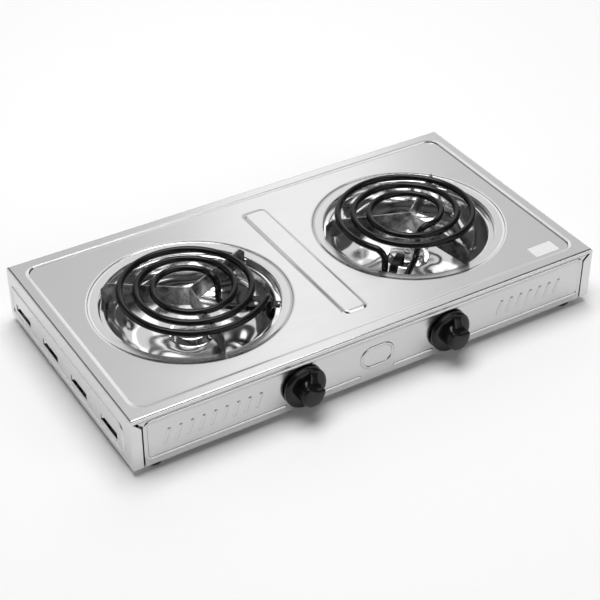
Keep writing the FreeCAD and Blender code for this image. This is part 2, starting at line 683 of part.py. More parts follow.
def rear_panel():
    """Rear panel with two rows of cooling slots and the hole for the cord grommet."""
    face = HALF_DEPTH
    tray = panel_tray(1)
    columns = int((SIDE - size("slot_margin")) / size("slot_pitch"))
    for u in [sign * column for column in range(2, columns + 1) for sign in (-1, 1)]:
        for z in (TOP - 38, TOP - 20):
            slot = Part.Face(rounded_rectangle(2.2, 6.5, 2.1, 0)).extrude(Vector(0, 0, 6))
            slot.rotate(Vector(), Vector(1, 0, 0), 90)
            tray = tray.cut(slot.translated(Vector(u * size("slot_pitch"), face + 3, z)))
    centre = Vector(0, face - 3, number(KNOB_Z))
    tray = tray.cut(Part.makeCylinder(size("grommet_radius") + size("hole_slack"), 6, centre,
                                      Vector(0, 1, 0)))
    return with_screw_holes(tray, 1)


# ---------------------------------------------------------------------------------------------
# Burners: drip bowl, support, element, pins, insulators and clamp, each about the burner's axis
# ---------------------------------------------------------------------------------------------
def drip_bowl():
    """Spun bowl: flange under the opening's lip, ledge for the support, wall, floor and boss."""
    thick = size("bowl_sheet")
    floor = TOP - size("bowl_depth")
    neck = number(NECK)
    boss = size("boss_radius")
    bend = size("bowl_bend")
    low = WALL - size("bowl_taper")
    foot = low - size("bend_width")
    side_middle = Vector(low - 0.27 * (low - foot), 0, floor + 0.27 * bend)
    flange = size("hole_radius") + size("bowl_overlap")
    points = (Vector(flange, 0, LIP - thick / 2), Vector(neck, 0, LIP - thick / 2),
              Vector(neck, 0, LEDGE - thick / 2), Vector(WALL, 0, LEDGE - thick / 2),
              Vector(low, 0, floor + bend))
    edges = [Part.LineSegment(a, b).toShape() for a, b in zip(points, points[1:])]
    edges.append(Part.Arc(points[-1], side_middle, Vector(foot, 0, floor)).toShape())
    inner = (Vector(foot, 0, floor), Vector(boss + size("boss_slope"), 0, floor),
             Vector(boss, 0, floor + size("boss_rise")),
             Vector(size("screw_radius") + size("boss_slack"), 0, floor + size("boss_rise")))
    edges += [Part.LineSegment(a, b).toShape() for a, b in zip(inner, inner[1:])]
    middle_line = Part.Wire(edges)
    outer = middle_line.makeOffset2D(thick / 2, 2, False, True)
    lower = middle_line.makeOffset2D(-thick / 2, 2, False, True)
    caps = [Part.LineSegment(outer.OrderedVertexes[end].Point,
                             lower.OrderedVertexes[end].Point).toShape() for end in (0, -1)]
    face = Part.Face(Part.Wire(Part.__sortEdges__(outer.Edges + lower.Edges + caps)))
    bowl = face.revolve(Vector(), UP, 360)
    lead_z = TOP - size("lead_drop")
    low_y, high_y = lead_rows()
    room = size("tube_radius") + size("lead_room")
    window = block((foot, low_y - room, lead_z - room),
                   (WALL + 10, high_y + room, lead_z + size("lead_bend")))
    return bowl.cut(window).cut(rivet_hole())


HALF_TURNS = 2 * int((COIL + size("coil_pitch") / 4 - size("coil_eye")) / size("coil_pitch"))


def coil_rows():
    """(centre offset along the start direction, radius) of each half-turn arc, outermost first."""
    pitch = size("coil_pitch")
    rows = []
    for index in range(HALF_TURNS):
        offset = pitch / 4 if index % 2 == 0 else -pitch / 4
        rows.append((offset, COIL - pitch / 4 - index * pitch / 2))
    return rows


def polar(radius, angle, z=0.0):
    """Point at an angle in degrees about the Z axis."""
    return Vector(radius * math.cos(math.radians(angle)), radius * math.sin(math.radians(angle)), z)


def coil_path():
    """Sheath's middle line: lead in, rise, clockwise half turns (the last cut short), lead out."""
    height = TOP + size("coil_rise")
    lead_z = TOP - size("lead_drop")
    bend = size("lead_bend")
    start_angle = -size("coil_start")
    root_half = math.sqrt(0.5)
    arcs = []
    angle = start_angle
    for index, (offset, radius) in enumerate(coil_rows()):
        centre = polar(offset, start_angle, height)
        sweep = 180.0 if index < HALF_TURNS - 1 else size("coil_last_arc")
        arcs.append(Part.Arc(centre + polar(radius, angle),
                             centre + polar(radius, angle - sweep / 2),
                             centre + polar(radius, angle - sweep)).toShape())
        angle -= sweep
    first = arcs[0].valueAt(arcs[0].FirstParameter)
    offset, radius = coil_rows()[-1]
    last = polar(offset, start_angle, height) + polar(radius, angle)
    into = polar(1, start_angle - 90)
    out_of = polar(1, angle - 90)

    def rise(top, heading, downward):
        """Points of the quarter bend between a level heading and the vertical."""
        sign = 1 if downward else -1
        pivot = top - bend * UP
        return pivot + sign * bend * heading, pivot + bend * root_half * (sign * heading + UP)

    def bottom(foot, heading):
        """Points of the quarter bend from the vertical to a level heading at the lead's height."""
        pivot = Vector(foot.x, foot.y, lead_z + bend) + bend * heading
        return (Vector(foot.x, foot.y, lead_z + bend),
                pivot - bend * root_half * (heading + UP), pivot - bend * UP)

    along = Vector(1, 0, 0)
    rise_foot, rise_middle = rise(first, into, False)
    fall_foot, fall_middle = rise(last, out_of, True)
    in_top, in_middle, in_end = bottom(rise_foot, along)
    out_top, out_middle, out_end = bottom(fall_foot, along)
    edges = [Part.LineSegment(Vector(LEADS, in_end.y, lead_z), in_end).toShape(),
             Part.Arc(in_end, in_middle, in_top).toShape(),
             Part.LineSegment(in_top, rise_foot).toShape(),
             Part.Arc(rise_foot, rise_middle, first).toShape()]
    edges += arcs
    edges += [Part.Arc(last, fall_middle, fall_foot).toShape(),
              Part.LineSegment(fall_foot, out_top).toShape(),
              Part.Arc(out_top, out_middle, out_end).toShape(),
              Part.LineSegment(out_end, Vector(LEADS, out_end.y, lead_z)).toShape()]
    return Part.Wire(edges)


def lead_rows():
    """The two leads' places across the lead direction, lower one first."""
    bend = size("lead_bend")
    start_angle = -size("coil_start")
    first = polar(COIL, start_angle) - bend * polar(1, start_angle - 90)
    angle = start_angle - 180 * (HALF_TURNS - 1) - size("coil_last_arc")
    offset, radius = coil_rows()[-1]
    last = polar(offset, start_angle) + polar(radius, angle) + bend * polar(1, angle - 90)
    return tuple(sorted((first.y, last.y)))


def element_support():
    """Three plates on edge that meet at the middle, notched where the sheath sits."""
    top = TOP + size("coil_rise") - size("tube_radius") + size("notch_depth")
    half = size("arm_thickness") / 2
    chamfer = size("arm_chamfer")
    start = polar(1, -size("coil_start"))
    height = TOP + size("coil_rise")
    seat = size("tube_radius") + size("notch_slack")
    plates = []
    for angle, first in ((60, 1), (180, 0), (300, 0)):
        outline = [(0, LEDGE), (ARM, LEDGE), (ARM, top - chamfer), (ARM - chamfer, top), (0, top)]
        plate = prism(outline, Vector(0, 2 * half, 0), lambda u, v: Vector(u, -half, v))
        direction = polar(1, angle)
        for offset, radius in coil_rows()[first::2]:
            nearness = offset * start.dot(direction)
            across = math.sqrt(radius ** 2 - offset ** 2 + nearness ** 2)
            notch = Part.makeCylinder(seat, 4, Vector(nearness + across, -2, height),
                                      Vector(0, 1, 0))
            plate = plate.cut(notch)
        plate.rotate(Vector(), UP, angle)
        plates.append(plate)
    return plates[0].fuse(plates[1:]).removeSplitter()


def element_clamp():
    """Strip from an eye on the bowl's ledge to a tab beside the leads."""
    wide = size("clamp_width")
    thick = size("clamp_sheet")
    y = sum(lead_rows()) / 2 - wide / 2
    raised = LEDGE + size("clamp_step")
    end = size("clamp_end")
    reach = ARM - 0.5
    joggle = WALL - 2.5
    outline = [(reach, LEDGE), (reach, LEDGE + thick), (joggle, LEDGE + thick),
               (joggle - 3, raised + thick), (end, raised + thick),
               (end, raised - size("clamp_tab")), (end + thick, raised - size("clamp_tab")),
               (end + thick, raised), (joggle - 3.5, raised), (joggle - 0.5, LEDGE)]
    strip = prism(outline, Vector(0, wide, 0), lambda u, v: Vector(u, y, v))
    return strip.cut(rivet_hole())


def rivet_place(z):
    """Point on the clamp rivet's axis at a height."""
    return Vector(ARM - size("rivet_inset"), sum(lead_rows()) / 2, z)


def rivet_hole():
    """Hole for the clamp's rivet, through the clamp and the bowl's ledge."""
    return Part.makeCylinder(size("rivet_radius"), 10, rivet_place(LEDGE - 5))


def clamp_rivet():
    """Round-headed rivet that holds the clamp to the ledge."""
    top = LEDGE + size("clamp_sheet")
    foot = LEDGE - size("bowl_sheet")
    tail_height = size("rivet_tail_height")
    shank = Part.makeCylinder(size("rivet_radius"), top - foot, rivet_place(foot))
    reach = Vector(5, 5, 0)
    dome = Part.makeSphere(size("rivet_head"), rivet_place(top - size("clamp_sheet")))
    head = dome.common(block(rivet_place(top) - reach, rivet_place(top + 5) + reach))
    tail = Part.makeCylinder(size("rivet_tail"), tail_height, rivet_place(foot - tail_height))
    return shank.fuse([head, tail]).removeSplitter()


def element_pins():
    """Two cold pins, each from a sheath's end outward."""
    lead_z = TOP - size("lead_drop")
    rods = [Part.makeCylinder(size("pin_radius"), size("pin_length"),
                              Vector(LEADS, y, lead_z), Vector(1, 0, 0))
            for y in lead_rows()]
    return Part.makeCompound(rods)


def pin_insulators():
    """Ceramic sleeve on each cold pin, against the sheath's end."""
    lead_z = TOP - size("lead_drop")
    sleeves = []
    for y in lead_rows():
        start = Vector(LEADS, y, lead_z)
        long = size("insulator_length")
        outer = Part.makeCylinder(size("bead_radius"), long, start, Vector(1, 0, 0))
        bore = Part.makeCylinder(size("pin_radius"), long, start, Vector(1, 0, 0))
        sleeves.append(outer.cut(bore))
    return Part.makeCompound(sleeves)


# ---------------------------------------------------------------------------------------------
# Bodies with sketches: base plate, feet and knobs
# ---------------------------------------------------------------------------------------------
def plane_of(body, role):
    """One of a body's own origin planes."""
    return next(item for item in body.Origin.OriginFeatures if item.Role == role)


def sketch_on(body, role, name):
    """Empty sketch on an origin plane of its own body."""
    sketch = body.newObject("Sketcher::SketchObject", name)
    sketch.AttachmentSupport = (plane_of(body, role), [""])
    sketch.MapMode = "FlatFace"
    return sketch


def pin_point(sketch, geometry, point, place):
    """Hold a sketch point at a place given by two formulas."""
    for kind, formula in zip(("DistanceX", "DistanceY"), place):
        index = sketch.addConstraint(
            Sketcher.Constraint(kind, -1, 1, geometry, point, number(formula)))
        bind(sketch, {f"Constraints[{index}]": formula})


def polygon_sketch(body, role, name, places):
    """Closed polygon whose corners are pairs of formulas."""
    sketch = sketch_on(body, role, name)
    corners = [Vector(number(u), number(v), 0) for u, v in places]
    for start, end in zip(corners, corners[1:] + corners[:1]):
        sketch.addGeometry(Part.LineSegment(start, end))
    count = len(corners)
    for index, place in enumerate(places):
        sketch.addConstraint(
            Sketcher.Constraint("Coincident", (index - 1) % count, 2, index, 1))
        pin_point(sketch, index, 1, place)
    return sketch


def circle_sketch(body, role, name, places, radius):
    """Circles of one radius, their centres pairs of formulas."""
    sketch = sketch_on(body, role, name)
    for index, place in enumerate(places):
        centre = Vector(number(place[0]), number(place[1]), 0)
        sketch.addGeometry(Part.Circle(centre, UP, number(radius)))
        pin_point(sketch, index, 3, place)
        held = sketch.addConstraint(Sketcher.Constraint("Radius", index, number(radius)))
        bind(sketch, {f"Constraints[{held}]": radius})
    return sketch


def pad(body, sketch, name, length, both_ways=False):
    """Pad of one sketch by a formula."""
    solid = body.newObject("PartDesign::Pad", name)
    solid.Profile = sketch
    solid.SideType = "Symmetric" if both_ways else "One side"
    bind(solid, {"Length": length})
    return solid


def pocket(body, sketch, name):
    """Pocket of one sketch through everything, both ways from its plane."""
    hole = body.newObject("PartDesign::Pocket", name)
    hole.Profile = sketch
    hole.Type = "ThroughAll"
    hole.SideType = "Symmetric"
    return hole


def round_off(body, base, name, radius, chosen):
    """Fillet of the base feature's edges that a test picks."""
    doc.recompute()
    names = [f"Edge{index}" for index, edge in enumerate(base.Shape.Edges, start=1)
             if chosen(edge)]
    fillet = body.newObject("PartDesign::Fillet", name)
    fillet.Base = (base, names)
    fillet.Radius = radius
    return fillet


def base_plate():
    """Flat plate on the side walls' flanges, with screw holes and cooling slots."""
    body = doc.addObject("PartDesign::Body", "base_plate")
    half_x = "(body_width / 2 - sheet - 0.5)"
    half_y = "(body_depth / 2 - sheet - 0.4)"
    outline = polygon_sketch(body, "XY_Plane", "base_outline",
                             [("-" + half_x, "-" + half_y), (half_x, "-" + half_y),
                              (half_x, half_y), ("-" + half_x, half_y)])
    pad(body, outline, "base_sheet", "sheet")
    inset = "(body_width / 2 - bottom_flange / 2)"
    reach = "(body_depth / 2 - base_screw_inset)"
    places = [(sign + inset, y) for sign in ("", "-") for y in ("-" + reach, "0", reach)]
    span = "(body_width / 2 - panel_screw_inset)"
    row = "(body_depth / 2 - panel_return / 2 - sheet / 2)"
    places += [(f"{share} * {span}", sign + row)
               for share in ("-1", "-0.33", "0.33", "1") for sign in ("", "-")]
    places += [(f"{across} * {FOOT_X}", f"{along} * {FOOT_Y}")
               for across in (-1, 1) for along in (-1, 1)]
    holes = circle_sketch(body, "XY_Plane", "base_screw_holes", places,
                          "screw_radius + hole_slack")
    pocket(body, holes, "base_screw_cuts")
    slot = polygon_sketch(body, "XY_Plane", "base_slot",
                          [(f"-{BURNER_X} + {sign}base_slot_half", f"base_slot_reach - {back}")
                           for sign, back in (("-", "base_slot_width"), ("", "base_slot_width"),
                                              ("", "0"), ("-", "0"))])
    first = pocket(body, slot, "base_slot_cut")
    pattern = body.newObject("PartDesign::MultiTransform", "base_slot_pattern")
    pattern.Originals = [first]
    rows = doc.addObject("PartDesign::LinearPattern", "base_slot_rows")
    rows.Direction = (slot, ["V_Axis"])
    rows.Reversed = True
    bind(rows, {"Length": "2 * base_slot_reach"})
    rows.Occurrences = 8
    columns = doc.addObject("PartDesign::LinearPattern", "base_slot_columns")
    columns.Direction = (slot, ["H_Axis"])
    bind(columns, {"Length": f"2 * {BURNER_X}"})
    columns.Occurrences = 2
    body.addObject(rows)
    body.addObject(columns)
    pattern.Transformations = [rows, columns]
    body.Tip = pattern
    bind(body, {"Placement.Base.y": MIDDLE_Y, "Placement.Base.z": BASE_Z})
    return keep(body, "base_plate")


def rubber_foot(label, across, along):
    """Turned rubber foot with a sunk screw hole, under the base plate."""
    body = doc.addObject("PartDesign::Body", label)
    profile = polygon_sketch(body, "XZ_Plane", label + "_profile",
                             [("screw_radius + hole_slack", "foot_seat"),
                              ("screw_head + 0.6", "foot_seat"), ("screw_head + 0.6", "0"),
                              ("foot_radius - 2", "0"), ("foot_radius - 0.8", "1"),
                              ("foot_radius", "foot_height + sheet"),
                              ("screw_radius + hole_slack", "foot_height + sheet")])
    turned = body.newObject("PartDesign::Revolution", label + "_turned")
    turned.Profile = profile
    turned.ReferenceAxis = (profile, ["V_Axis"])
    turned.Angle = 360
    bind(body, {"Placement.Base.x": f"{across} * {FOOT_X}",
                "Placement.Base.y": f"{MIDDLE_Y} + {along} * {FOOT_Y}"})
    return keep(body, label)


def knob(label, across, pointer):
    """Moulded knob, made with its axis along Z and its face up, then laid against the panel."""
    body = doc.addObject("PartDesign::Body", label)
    skirt = polygon_sketch(body, "XZ_Plane", label + "_skirt",
                           [("0", "skirt_height"), ("0", "nut_room_depth"),
                            ("nut_room", "nut_room_depth"), ("nut_room", "collar_setback"),
                            ("nut_room + collar_wall", "collar_setback"),
                            ("nut_room + collar_wall", "skirt_hollow"),
                            ("skirt_radius - 2", "skirt_hollow"),
                            ("skirt_radius - 1.6", "0"), ("skirt_radius", "0"),
                            ("skirt_radius", "skirt_height - grip_rounding"),
                            ("skirt_radius - 1", "skirt_height - 1"),
                            ("skirt_radius - 3.4", "skirt_height")])
    turned = body.newObject("PartDesign::Revolution", label + "_turned")
    turned.Profile = skirt
    turned.ReferenceAxis = (skirt, ["V_Axis"])
    turned.Angle = 360
    doc.recompute()
    barrel = circle_sketch(body, "XY_Plane", label + "_barrel", [("0", "0")], "grip_radius")
    lift = {"AttachmentOffset.Base.z": "skirt_height - 1"}
    bind(barrel, lift)
    pad(body, barrel, label + "_barrel_pad", "grip_height - skirt_height + 1")
    shoulders = polygon_sketch(body, "XY_Plane", label + "_shoulders",
                               [("-grip_radius", "0"), ("grip_radius", "0"),
                                ("grip_radius - 0.6", "grip_radius - 0.4"),
                                ("-grip_radius + 0.6", "grip_radius - 0.4")])
    bind(shoulders, lift)
    shoulder_pad = pad(body, shoulders, label + "_shoulder_pad",
                       "grip_height - skirt_height + 1")
    edges = round_off(body, shoulder_pad, label + "_grip_rounding", size("grip_rounding"),
                      lambda edge: all(abs(vertex.Z - size("grip_height")) < 0.01
                                       for vertex in edge.Vertexes) or is_shoulder(edge))
    ramp = polygon_sketch(body, "YZ_Plane", label + "_ramp",
                          [("grip_radius - 3", "skirt_height - 1"),
                           ("skirt_radius - 2.8", "skirt_height - 1"),
                           ("skirt_radius - 3.4", "skirt_height"),
                           ("grip_radius - 0.2", "grip_height / 2 + 1"),
                           ("grip_radius - 3", "grip_height / 2 + 1")])
    pad(body, ramp, label + "_ramp_pad", "grip_radius * 0.9", True)
    bore = circle_sketch(body, "XY_Plane", label + "_bore", [("0", "0")], "shaft_radius")
    drilled = body.newObject("PartDesign::Pocket", label + "_bored")
    drilled.Profile = bore
    drilled.Reversed = True
    bind(drilled, {"Length": "grip_height - bore_cover"})
    body.Tip = drilled
    body.Placement.Rotation = FreeCAD.Rotation(Vector(0, 1, 0), pointer).multiply(
        FreeCAD.Rotation(Vector(1, 0, 0), 90))
    bind(body, {"Placement.Base.x": f"{across} * knob_spacing / 2",
                "Placement.Base.y": f"{FRONT_Y} - skirt_gap", "Placement.Base.z": KNOB_Z})
    return keep(body, label)


def is_shoulder(edge):
    """True for the two upright corner edges of a knob's grip."""
    first, last = edge.Vertexes[0], edge.Vertexes[-1]
    corner = size("grip_radius") - 0.6
    return (abs(first.X - last.X) < 0.01 and abs(first.Y - last.Y) < 0.01
            and abs(abs(first.X) - corner) < 0.01)


# ---------------------------------------------------------------------------------------------
# Controls
# ---------------------------------------------------------------------------------------------
OUTWARD = Vector(0, -1, 0)


def control_set(side, across):
    """Rotary control, its nut, its shaft and the knob's grip spring."""
    axis_x = f"({across} * knob_spacing / 2)"
    inside = f"({CONTROL_Y} + control_deep / 2)"
    housing = fuse(f"housing_{side}", [
        box(f"case_{side}", (f"{axis_x} - control_width / 2", CONTROL_Y, f"{KNOB_Z} - control_tall / 2"),
            ("control_width", "control_deep", "control_tall")),
        cylinder(f"bushing_{side}", (axis_x, CONTROL_Y, KNOB_Z), "bushing_radius",
                 "sheet + bushing_reach", OUTWARD),
        *[box(f"tab_{end}_{side}",
              (f"{axis_x} {start}", f"{CONTROL_Y} + control_deep - 1", f"{KNOB_Z} - tab_sheet / 2"),
              ("tab_width", "tab_length + 1", "tab_sheet"))
          for end, start in (("left", "- tab_gap - tab_width"), ("right", "+ tab_gap"))]])
    bore = cylinder(f"control_bore_{side}", (axis_x, inside, KNOB_Z),
                    "shaft_radius + shaft_clearance", "control_deep + 10", OUTWARD)
    keep(cut(f"control_cut_{side}", housing, [bore]), f"rotary_control_{side}")

    nut = doc.addObject("Part::Prism", f"nut_{side}")
    nut.Polygon = 6
    nut.Placement.Rotation = FreeCAD.Rotation(UP, OUTWARD)
    bind(nut, {"Circumradius": "nut_radius", "Height": "nut_height", "Placement.Base.x": axis_x,
               "Placement.Base.y": FRONT_Y, "Placement.Base.z": KNOB_Z})
    thread = cylinder(f"nut_bore_{side}", (axis_x, FRONT_Y, KNOB_Z), "bushing_radius",
                      "nut_height", OUTWARD)
    keep(cut(f"nut_cut_{side}", nut, [thread]), f"control_nut_{side}")

    bar = cylinder(f"bar_{side}", (axis_x, f"{inside} - 0.5", KNOB_Z), "shaft_radius",
                   f"{inside} - 0.5 - {FRONT_Y} + skirt_gap + grip_height - bore_cover - 0.5", OUTWARD)
    flat = box(f"flat_{side}", (f"{axis_x} - shaft_radius",
                                f"{FRONT_Y} - skirt_gap - grip_height + bore_cover",
                                f"{KNOB_Z} + 1.8"),
               ("2 * shaft_radius", "11", "shaft_radius"))
    keep(cut(f"shaft_cut_{side}", bar, [flat]), f"control_shaft_{side}")
    leaf = box(f"leaf_{side}", (f"{axis_x} - 1.5", f"{FRONT_Y} - skirt_gap - grip_height + 8.5",
                                f"{KNOB_Z} + 1.8"), ("3", "8", "0.6"))
    keep(leaf, f"knob_spring_{side}")


# ---------------------------------------------------------------------------------------------
# Fasteners, each kind one group of separate solids
# ---------------------------------------------------------------------------------------------
def screws(label, places, seat_z, pointing=1):
    """Cross-head screws at the same height; seat_z is the face under the head."""
    heads = []
    for x, y in places:
        seat = Vector(x, y, seat_z)
        along = pointing * UP
        head = Part.makeCylinder(size("screw_head"), size("screw_head_height"), seat, -along)
        head = head.makeFillet(0.7, [edge for edge in head.Edges if abs(
            edge.CenterOfMass.z - seat_z + pointing * size("screw_head_height")) < 0.01
            and len(edge.Vertexes) == 1])
        shank = Part.makeCylinder(size("screw_radius"), size("screw_length"), seat, along)
        face_z = seat_z - pointing * size("screw_head_height")
        low = min(face_z, face_z + pointing * 0.9)
        for half_x, half_y in ((1.7, 0.35), (0.35, 1.7)):
            head = head.cut(block((x - half_x, y - half_y, low), (x + half_x, y + half_y, low + 0.9)))
        heads.append(head.fuse(shank).removeSplitter())
    return feature(label, Part.makeCompound(heads))


def fasteners():
    """Case, panel, foot and bowl screws."""
    screws("base_screws", [(x, y + MIDDLE) for x, y in base_screw_places()], BOTTOM)
    row = HALF_DEPTH - size("panel_return") / 2 - SHEET / 2
    screws("panel_screws", [(x, MIDDLE + front * row) for x in panel_screw_places()
                            for front in (-1, 1)], BASE)
    screws("foot_screws", [(across * number(FOOT_X), MIDDLE + along * number(FOOT_Y))
                           for across in (-1, 1) for along in (-1, 1)], size("foot_seat"))
    boss = number(BOSS_Z) + size("bowl_sheet") / 2
    screws("bowl_screws", [(centre.x, centre.y + MIDDLE) for side, centre, turn in burner_places()],
           boss, -1)


def standoffs():
    """Post under each bowl's raised middle, drilled for the bowl screw."""
    for side, across in (("left", -1), ("right", 1)):
        place = (f"{across} * {BURNER_X}", BURNER_Y, FLOOR_Z)
        tall = f"{BOSS_Z} - bowl_sheet / 2 - {FLOOR_Z}"
        post = cylinder(f"post_{side}", place, "screw_radius + 3.5", tall)
        bore = cylinder(f"post_bore_{side}", place, "screw_radius", tall)
        keep(cut(f"post_cut_{side}", post, [bore]), f"bowl_standoff_{side}")


# ---------------------------------------------------------------------------------------------
# Supply side: terminal block, earth stud, cord grommet
# ---------------------------------------------------------------------------------------------
WAYS = ("-1.5 * way_pitch", "-0.5 * way_pitch", "0.5 * way_pitch", "1.5 * way_pitch")
WAY_Z = f"({FLOOR_Z} + way_height)"


def terminal_block():
    """Ceramic block with four ways, a wire channel and a screw hole each."""
    body = box("block", ("-block_width / 2", f"{TERMINAL_Y} - block_deep / 2", FLOOR_Z),
               ("block_width", "block_deep", "block_tall"))
    holes = []
    for index, x in enumerate(WAYS):
        holes.append(cylinder(f"way_{index}", (x, f"{TERMINAL_Y} - block_deep / 2", WAY_Z),
                              "wire_radius", "block_deep", Vector(0, 1, 0)))
        holes.append(cylinder(f"way_screw_hole_{index}", (x, TERMINAL_Y, WAY_Z), "screw_radius + 0.2",
                              "block_tall"))
    keep(cut("block_cut", body, holes), "terminal_block")
    top = FLOOR + size("block_tall")
    y = number(TERMINAL_Y)
    slots = []
    for x in [number(way) for way in WAYS]:
        low = number(WAY_Z) + size("wire_radius")
        screw = Part.makeCylinder(size("screw_radius"), top - low - 1, Vector(x, y, low))
        slots.append(screw.cut(block((x - 3, y - 0.3, top - 2), (x + 3, y + 0.3, top))))
    feature("terminal_screws", Part.makeCompound(slots))


def earth_point():
    """Earth stud on the base plate and its nut."""
    place = ("-block_width", TERMINAL_Y, FLOOR_Z)
    keep(cylinder("earth_stud", place, "2", "12"), "earth_stud")
    nut = doc.addObject("Part::Prism", "earth_nut_body")
    nut.Polygon = 6
    bind(nut, {"Circumradius": "4", "Height": "3.2", "Placement.Base.x": place[0],
               "Placement.Base.y": place[1], "Placement.Base.z": place[2]})
    thread = cylinder("earth_nut_bore", place, "2", "3.2")
    keep(cut("earth_nut_cut", nut, [thread]), "earth_nut")


def cord_grommet():
    """Rubber grommet in the rear panel, with the cord's bore through it."""
    start = ("0", f"{REAR_Y} - sheet - 2", KNOB_Z)
    back = Vector(0, 1, 0)
    solid = fuse("grommet_solid", [
        cylinder("grommet_inner", start, "grommet_flange - 0.8", "2", back),
        cylinder("grommet_neck", start, "grommet_radius", "sheet + 2.5", back),
        cylinder("grommet_outer", ("0", REAR_Y, KNOB_Z), "grommet_flange", "grommet_proud", back)])
    bore = cylinder("grommet_bore", start, "cord_radius", "sheet + 2 + grommet_proud", back)
    keep(cut("grommet_cut", solid, [bore]), "cord_grommet")


def plain_label():
    """Blank rectangular label on the recessed field near the front corner."""
    half = size("label_width") / 2
    deep = size("label_depth")
    plate = block((-half, 0, 0), (half, deep, size("label_thickness")))
    corner = Vector(SIDE - size("label_inset_x"), FRONT + size("label_inset_y"), FIELD)
    feature("plain_label", plate, corner)


# ---------------------------------------------------------------------------------------------
# Internal wires, along routes chosen by hand between their terminals
# ---------------------------------------------------------------------------------------------
def pin_end(side, row):
    """End of one cold pin and the direction it points in."""
    for name, centre, turn in burner_places():
        if name == side:
            heading = polar(1, turn)
            point = polar(LEADS + size("pin_length"), turn)
            point += lead_rows()[row] * polar(1, turn + 90)
            return point + centre + Vector(0, MIDDLE, TOP - size("lead_drop")), heading


def tab_end(across, offset):
    """End of a control's tab."""
    return Vector(across * size("knob_spacing") / 2 + offset,
                  number(CONTROL_Y) + size("control_deep") + size("tab_length"), number(KNOB_Z))


def wires():
    """Live wires to the controls, load wires to the elements, neutral wires back."""
    way_y = number(TERMINAL_Y) - size("block_deep") / 2
    way_z = number(WAY_Z)
    back = Vector(0, 1, 0)
    low = FLOOR + 4
    way = size("way_pitch") / 2
    tab = size("tab_gap") + size("tab_width") / 2
    groups = {"live_wires": [], "neutral_wires": [], "load_wires": []}
    for side in (-1, 1):
        start = Vector(side * 3 * way, way_y, way_z)
        end = tab_end(side, side * tab)
        groups["live_wires"].append([
            start, start - 14 * back, (side * 18, 40, low), (side * 20, -10, low),
            (side * 26, -52, low), (side * 42, -76, low + 2), (side * 66, -79, low + 6),
            end + 13 * back + Vector(0, 0, -3), end + 8 * back, end])
    pin, heading = pin_end("left", 1)
    start = Vector(-way, way_y, way_z)
    groups["neutral_wires"].append([
        start, start - 14 * back, (-6, 40, low), (-7, 0, low), (-8, -30, low + 2), (2, -50, low + 12),
        pin + 14 * heading + Vector(2, -3, -6), pin + 9 * heading, pin])
    pin, heading = pin_end("right", 0)
    start = Vector(way, way_y, way_z)
    groups["neutral_wires"].append([
        start, start - 14 * back, (6, 40, low), (8, 0, low), (11, -34, low), (12, -58, low + 3),
        (8, -76, low + 12), pin + 14 * heading + Vector(-2, -2, -6), pin + 9 * heading, pin])
    pin, heading = pin_end("left", 0)
    start = tab_end(-1, tab)
    groups["load_wires"].append([
        start, start + 8 * back, (-56, -78, 25), (-34, -84, 24), (-14, -84, 31),
        pin + 15 * heading + Vector(0, -2, -3), pin + 9 * heading, pin])
    pin, heading = pin_end("right", 1)
    start = tab_end(1, -tab)
    groups["load_wires"].append([
        start, start + 7 * back, (57, -90, 25), (40, -100, 24), (27, -101, 32),
        pin + 14 * heading + Vector(-1, -1, -4), pin + 9 * heading, pin])
    for label, routes in groups.items():
        runs = []
        for route in routes:
            path = rounded_path(route)
            runs.append(tube(path, size("wire_radius")))
            print(f"{label}: {path.Length:.0f} mm")
        feature(label, Part.makeCompound(runs))


# ---------------------------------------------------------------------------------------------
# The whole assembly
# ---------------------------------------------------------------------------------------------
def assemble():
    """Make every piece."""
    middle = Vector(0, MIDDLE, 0)
    feature("body_shell", body_shell(), middle)
    feature("front_panel", front_panel(), middle)
    feature("rear_panel", rear_panel(), middle)
    base_plate()
    bowl = drip_bowl()
    support = element_support()
    coil = tube(coil_path(), size("tube_radius"))
    clamp = element_clamp()
    rivet = clamp_rivet()
    for side, centre, turn in burner_places():
        place = centre + middle
        feature(f"drip_bowl_{side}", bowl, place, turn)
        feature(f"element_support_{side}", support, place, turn)
        feature(f"coil_element_{side}", coil, place, turn)
        feature(f"element_clamp_{side}", clamp, place, turn)
        feature(f"clamp_rivet_{side}", rivet, place, turn)
        feature(f"element_pins_{side}", element_pins(), place, turn)
        feature(f"pin_insulators_{side}", pin_insulators(), place, turn)
    standoffs()
    for along, end in ((-1, "front"), (1, "rear")):
        for across, side in ((-1, "left"), (1, "right")):
            rubber_foot(f"rubber_foot_{end}_{side}", across, along)
    for side, across in (("left", -1), ("right", 1)):
        control_set(side, across)
        knob(f"knob_{side}", across, size(f"{side}_pointer"))
    fasteners()
    terminal_block()
    earth_point()
    cord_grommet()
    plain_label()
    wires()


def check_document():
    """Stop if any object failed or any finished piece is empty or not valid."""
    doc.recompute()
    failed = [thing.Name for thing in doc.Objects
              if "Invalid" in thing.State or "Error" in thing.State]
    for thing in finished:
        shape = thing.Shape
        if shape.isNull() or not shape.isValid() or not shape.Solids:
            failed.append(thing.Label)
    if failed:
        raise ValueError("failed: " + ", ".join(failed))


assemble()
check_document()
os.makedirs("parts", exist_ok=True)
for piece in finished:
    piece.Shape.exportStep(f"parts/{piece.Label}.step")
print(len(finished), "pieces written")
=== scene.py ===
"""Looks of a countertop hot plate with two coiled elements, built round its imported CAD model.

Metres. X runs left to right, Y front to back, Z up, and the feet stand on Z = 0.
"""

import json
import math

import bmesh
import bpy
import numpy as np
from mathutils import Matrix, Vector


